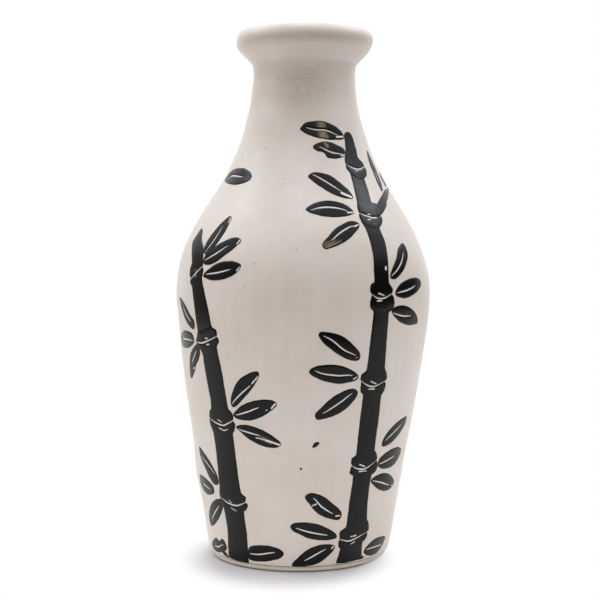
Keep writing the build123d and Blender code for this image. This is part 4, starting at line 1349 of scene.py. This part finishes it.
class VASE_OT_leaves(bpy.types.Operator):
    """Brush the leaves of the four canes, each with its scratched vein"""

    bl_idname = "vase.leaves"
    bl_label = "Leaves"

    def execute(self, context):
        settings = context.scene.vase
        slip = brushed_black_slip(settings)
        for name, leaves in (("front_right", RIGHT_LEAVES), ("front_left", LEFT_LEAVES)):
            film = SlipFilm(settings)
            for leaf in leaves:
                traced_leaf(film, leaf)
            film.piece(f"slip_{name}_leaves", f"{name}_leaves", slip)
        ends = seen_on_wall(SHOULDER_LEAF.base), seen_on_wall(SHOULDER_LEAF.tip)
        shoulder = [sum(pair) / 2 for pair in zip(*ends)]
        for name in ("back_left", "back_right"):
            film = SlipFilm(settings)
            for index, (base, tip) in enumerate(cad_leaves(f"{name}_leaves", f"{name}_culm")):
                middle = [sum(pair) / 2 for pair in zip(base, tip)]
                if all(abs(a - b) < near for a, b, near in zip(middle, shoulder, SHOULDER_NEAR)):
                    traced_leaf(film, SHOULDER_LEAF)
                else:
                    plain_leaf(film, base, tip, index)
            film.piece(f"slip_{name}_leaves", f"{name}_leaves", slip)
        return {"FINISHED"}


class VASE_OT_flecks(bpy.types.Operator):
    """Drop the two stray flecks of slip on the front"""

    bl_idname = "vase.flecks"
    bl_label = "Flecks"

    def execute(self, context):
        settings = context.scene.vase
        film = SlipFilm(settings)
        for fleck in FLECKS:
            traced_leaf(film, fleck)
        film.piece("slip_flecks_drops", "slip_flecks", brushed_black_slip(settings))
        return {"FINISHED"}


def add_softbox(name, place, side, power):
    """Hang a square softbox that looks at the vase's shoulder."""
    lamp = bpy.data.lights.new(name, "AREA")
    lamp.shape = "SQUARE"
    lamp.size = side
    lamp.energy = power
    lamp.color = linear_colour(SOFTBOX_TINT)
    softbox = bpy.data.objects.new(name, lamp)
    turn = (SOFTBOX_AIM - place).to_track_quat("-Z", "Y").to_matrix().to_4x4()
    softbox.matrix_world = Matrix.Translation(place) @ turn
    bpy.context.scene.collection.objects.link(softbox)


class VASE_OT_stage(bpy.types.Operator):
    """Set the pale floor, the soft lights, the white background and the camera"""

    bl_idname = "vase.stage"
    bl_label = "Stage"

    def execute(self, context):
        settings = context.scene.vase_stage
        self.lay_floor(settings)
        self.light_room(context, settings)
        for name, place in SIDE_SOFTBOXES:
            add_softbox(name, place, SIDE_SOFTBOX_SIZE, settings.softbox_light)
        add_softbox("top softbox", TOP_SOFTBOX_PLACE, TOP_SOFTBOX_SIZE, settings.top_light)
        lens = bpy.data.cameras.new("photo camera")
        lens.sensor_width = SENSOR_WIDTH
        lens.lens = SENSOR_WIDTH * FOCAL_PIXELS / PHOTO_PIXELS
        camera = bpy.data.objects.new("photo camera", lens)
        camera.matrix_world = CAMERA_MATRIX
        context.scene.collection.objects.link(camera)
        context.scene.camera = camera
        context.scene.view_settings.view_transform = "Standard"
        return {"FINISHED"}

    def lay_floor(self, settings):
        """Lay white paper that keeps the shadow around the foot and is plain white further out."""
        bm = bmesh.new()
        bmesh.ops.create_grid(bm, x_segments=8, y_segments=8, size=FLOOR_HALF)
        bmesh.ops.translate(bm, verts=bm.verts, vec=(0, FLOOR_HALF - settings.table_front, 0))
        mesh = bpy.data.meshes.new("floor")
        bm.to_mesh(mesh)
        bm.free()
        material, tree, output = new_material("white studio paper")
        path = add_node(tree, "ShaderNodeLightPath")
        seen = path.outputs["Is Camera Ray"]
        for ray in ("Is Glossy Ray", "Is Transmission Ray"):
            links = {0: seen, 1: path.outputs[ray]}
            seen = add_node(tree, "ShaderNodeMath", links=links, operation="MAXIMUM")
        place = add_node(
            tree, "ShaderNodeMapping", {"Location": SHADOW_MIDDLE, "Scale": SHADOW_REACH},
            {"Vector": add_node(tree, "ShaderNodeTexCoord").outputs["Object"]}, vector_type="TEXTURE",
        )
        reach = add_node(tree, "ShaderNodeVectorMath", links={0: place}, operation="LENGTH")
        away = add_node(
            tree, "ShaderNodeMapRange", {"From Min": 0.68, "From Max": 1.1}, {"Value": reach},
            interpolation_type="SMOOTHSTEP",
        )
        white = add_node(tree, "ShaderNodeMath", links={0: seen, 1: away}, operation="MULTIPLY")
        # Camera, glossy and transmission rays see the paper near the foot in the darker shadow colour: a
        # painted shadow over the one that the lamps cast
        shade = add_node(
            tree, "ShaderNodeMix",
            {COLOUR_A: (*settings.floor_colour, 1), COLOUR_B: (*settings.shadow_colour, 1)},
            {FACTOR: seen}, data_type="RGBA",
        )
        paper = add_node(tree, "ShaderNodeBsdfDiffuse", links={"Color": shade})
        glow = add_node(tree, "ShaderNodeEmission", {"Strength": 1.0})
        mix = add_node(tree, "ShaderNodeMixShader", links={0: white, 1: paper, 2: glow})
        tree.links.new(mix.outputs[0], output.inputs[0])
        mesh.materials.append(material)
        floor = bpy.data.objects.new("floor", mesh)
        bpy.context.scene.collection.objects.link(floor)

    def light_room(self, context, settings):
        """Light the room softly, with a white background and a darker room behind the camera."""
        world = bpy.data.worlds.new("studio")
        context.scene.world = world
        world.use_nodes = True
        tree = world.node_tree
        tree.nodes.clear()
        output = add_node(tree, "ShaderNodeOutputWorld")
        toward = add_node(
            tree, "ShaderNodeSeparateXYZ",
            links={0: add_node(tree, "ShaderNodeTexCoord").outputs["Generated"]},
        )
        right, back, up = toward.outputs
        ceiling = add_node(
            tree, "ShaderNodeMath", {1: settings.sky_tip}, {0: back, 2: up}, operation="MULTIPLY_ADD"
        )
        level = None
        # Each lit side of the room: where along its axis the light starts, where it is full, and its strength
        for axis, start, end, light in (
            (ceiling, 0.26, 0.52, settings.sky_light),
            (back, 0.45, 0.8, settings.back_light),
            (right, -0.3, -0.9, settings.left_light),
        ):
            side = add_node(
                tree, "ShaderNodeMapRange",
                {"From Min": start, "From Max": end, "To Min": settings.room_light, "To Max": light},
                {"Value": axis}, interpolation_type="SMOOTHSTEP",
            )
            if level:
                side = add_node(tree, "ShaderNodeMath", links={0: level, 1: side}, operation="MAXIMUM")
            level = side
        seen = add_node(tree, "ShaderNodeLightPath").outputs["Is Camera Ray"]
        strength = add_node(
            tree, "ShaderNodeMix", {FLOAT_B: 1.0}, {FACTOR: seen, FLOAT_A: level}, data_type="FLOAT"
        )
        tint = add_node(
            tree, "ShaderNodeMix",
            {COLOUR_A: (*linear_colour(ROOM_TINT), 1), COLOUR_B: (*linear_colour(SKY_TINT), 1)},
            {FACTOR: level}, data_type="RGBA",
        )
        colour = add_node(
            tree, "ShaderNodeMix", {COLOUR_B: (1, 1, 1, 1)}, {FACTOR: seen, COLOUR_A: tint}, data_type="RGBA"
        )
        sky = add_node(tree, "ShaderNodeBackground", links={0: colour, 1: strength})
        tree.links.new(sky.outputs[0], output.inputs[0])


class VASE_PT_sidebar(bpy.types.Panel):
    """Steps and settings of the vase"""

    bl_idname = "VASE_PT_sidebar"
    bl_label = "Bamboo bottle vase"
    bl_space_type = "VIEW_3D"
    bl_region_type = "UI"
    bl_category = "Vase"

    def draw(self, context):
        layout = self.layout
        for operator in OPERATORS:
            layout.operator(operator.bl_idname)
        for group in (context.scene.vase, context.scene.vase_stage):
            for name in group.bl_rna.properties.keys():
                if name not in ("rna_type", "name"):
                    layout.prop(group, name)


OPERATORS = (VASE_OT_clay, VASE_OT_stalks, VASE_OT_leaves, VASE_OT_flecks, VASE_OT_stage)
CLASSES = (VaseSettings, StageSettings, *OPERATORS, VASE_PT_sidebar)


def register():
    for cls in CLASSES:
        bpy.utils.register_class(cls)
    bpy.types.Scene.vase = PointerProperty(type=VaseSettings)
    bpy.types.Scene.vase_stage = PointerProperty(type=StageSettings)


def unregister():
    del bpy.types.Scene.vase_stage
    del bpy.types.Scene.vase
    for cls in reversed(CLASSES):
        bpy.utils.unregister_class(cls)


def main():
    register()
    bpy.ops.vase.clay()
    bpy.ops.vase.stalks()
    bpy.ops.vase.leaves()
    bpy.ops.vase.flecks()
    bpy.ops.vase.stage()


if __name__ == "__main__":
    main()
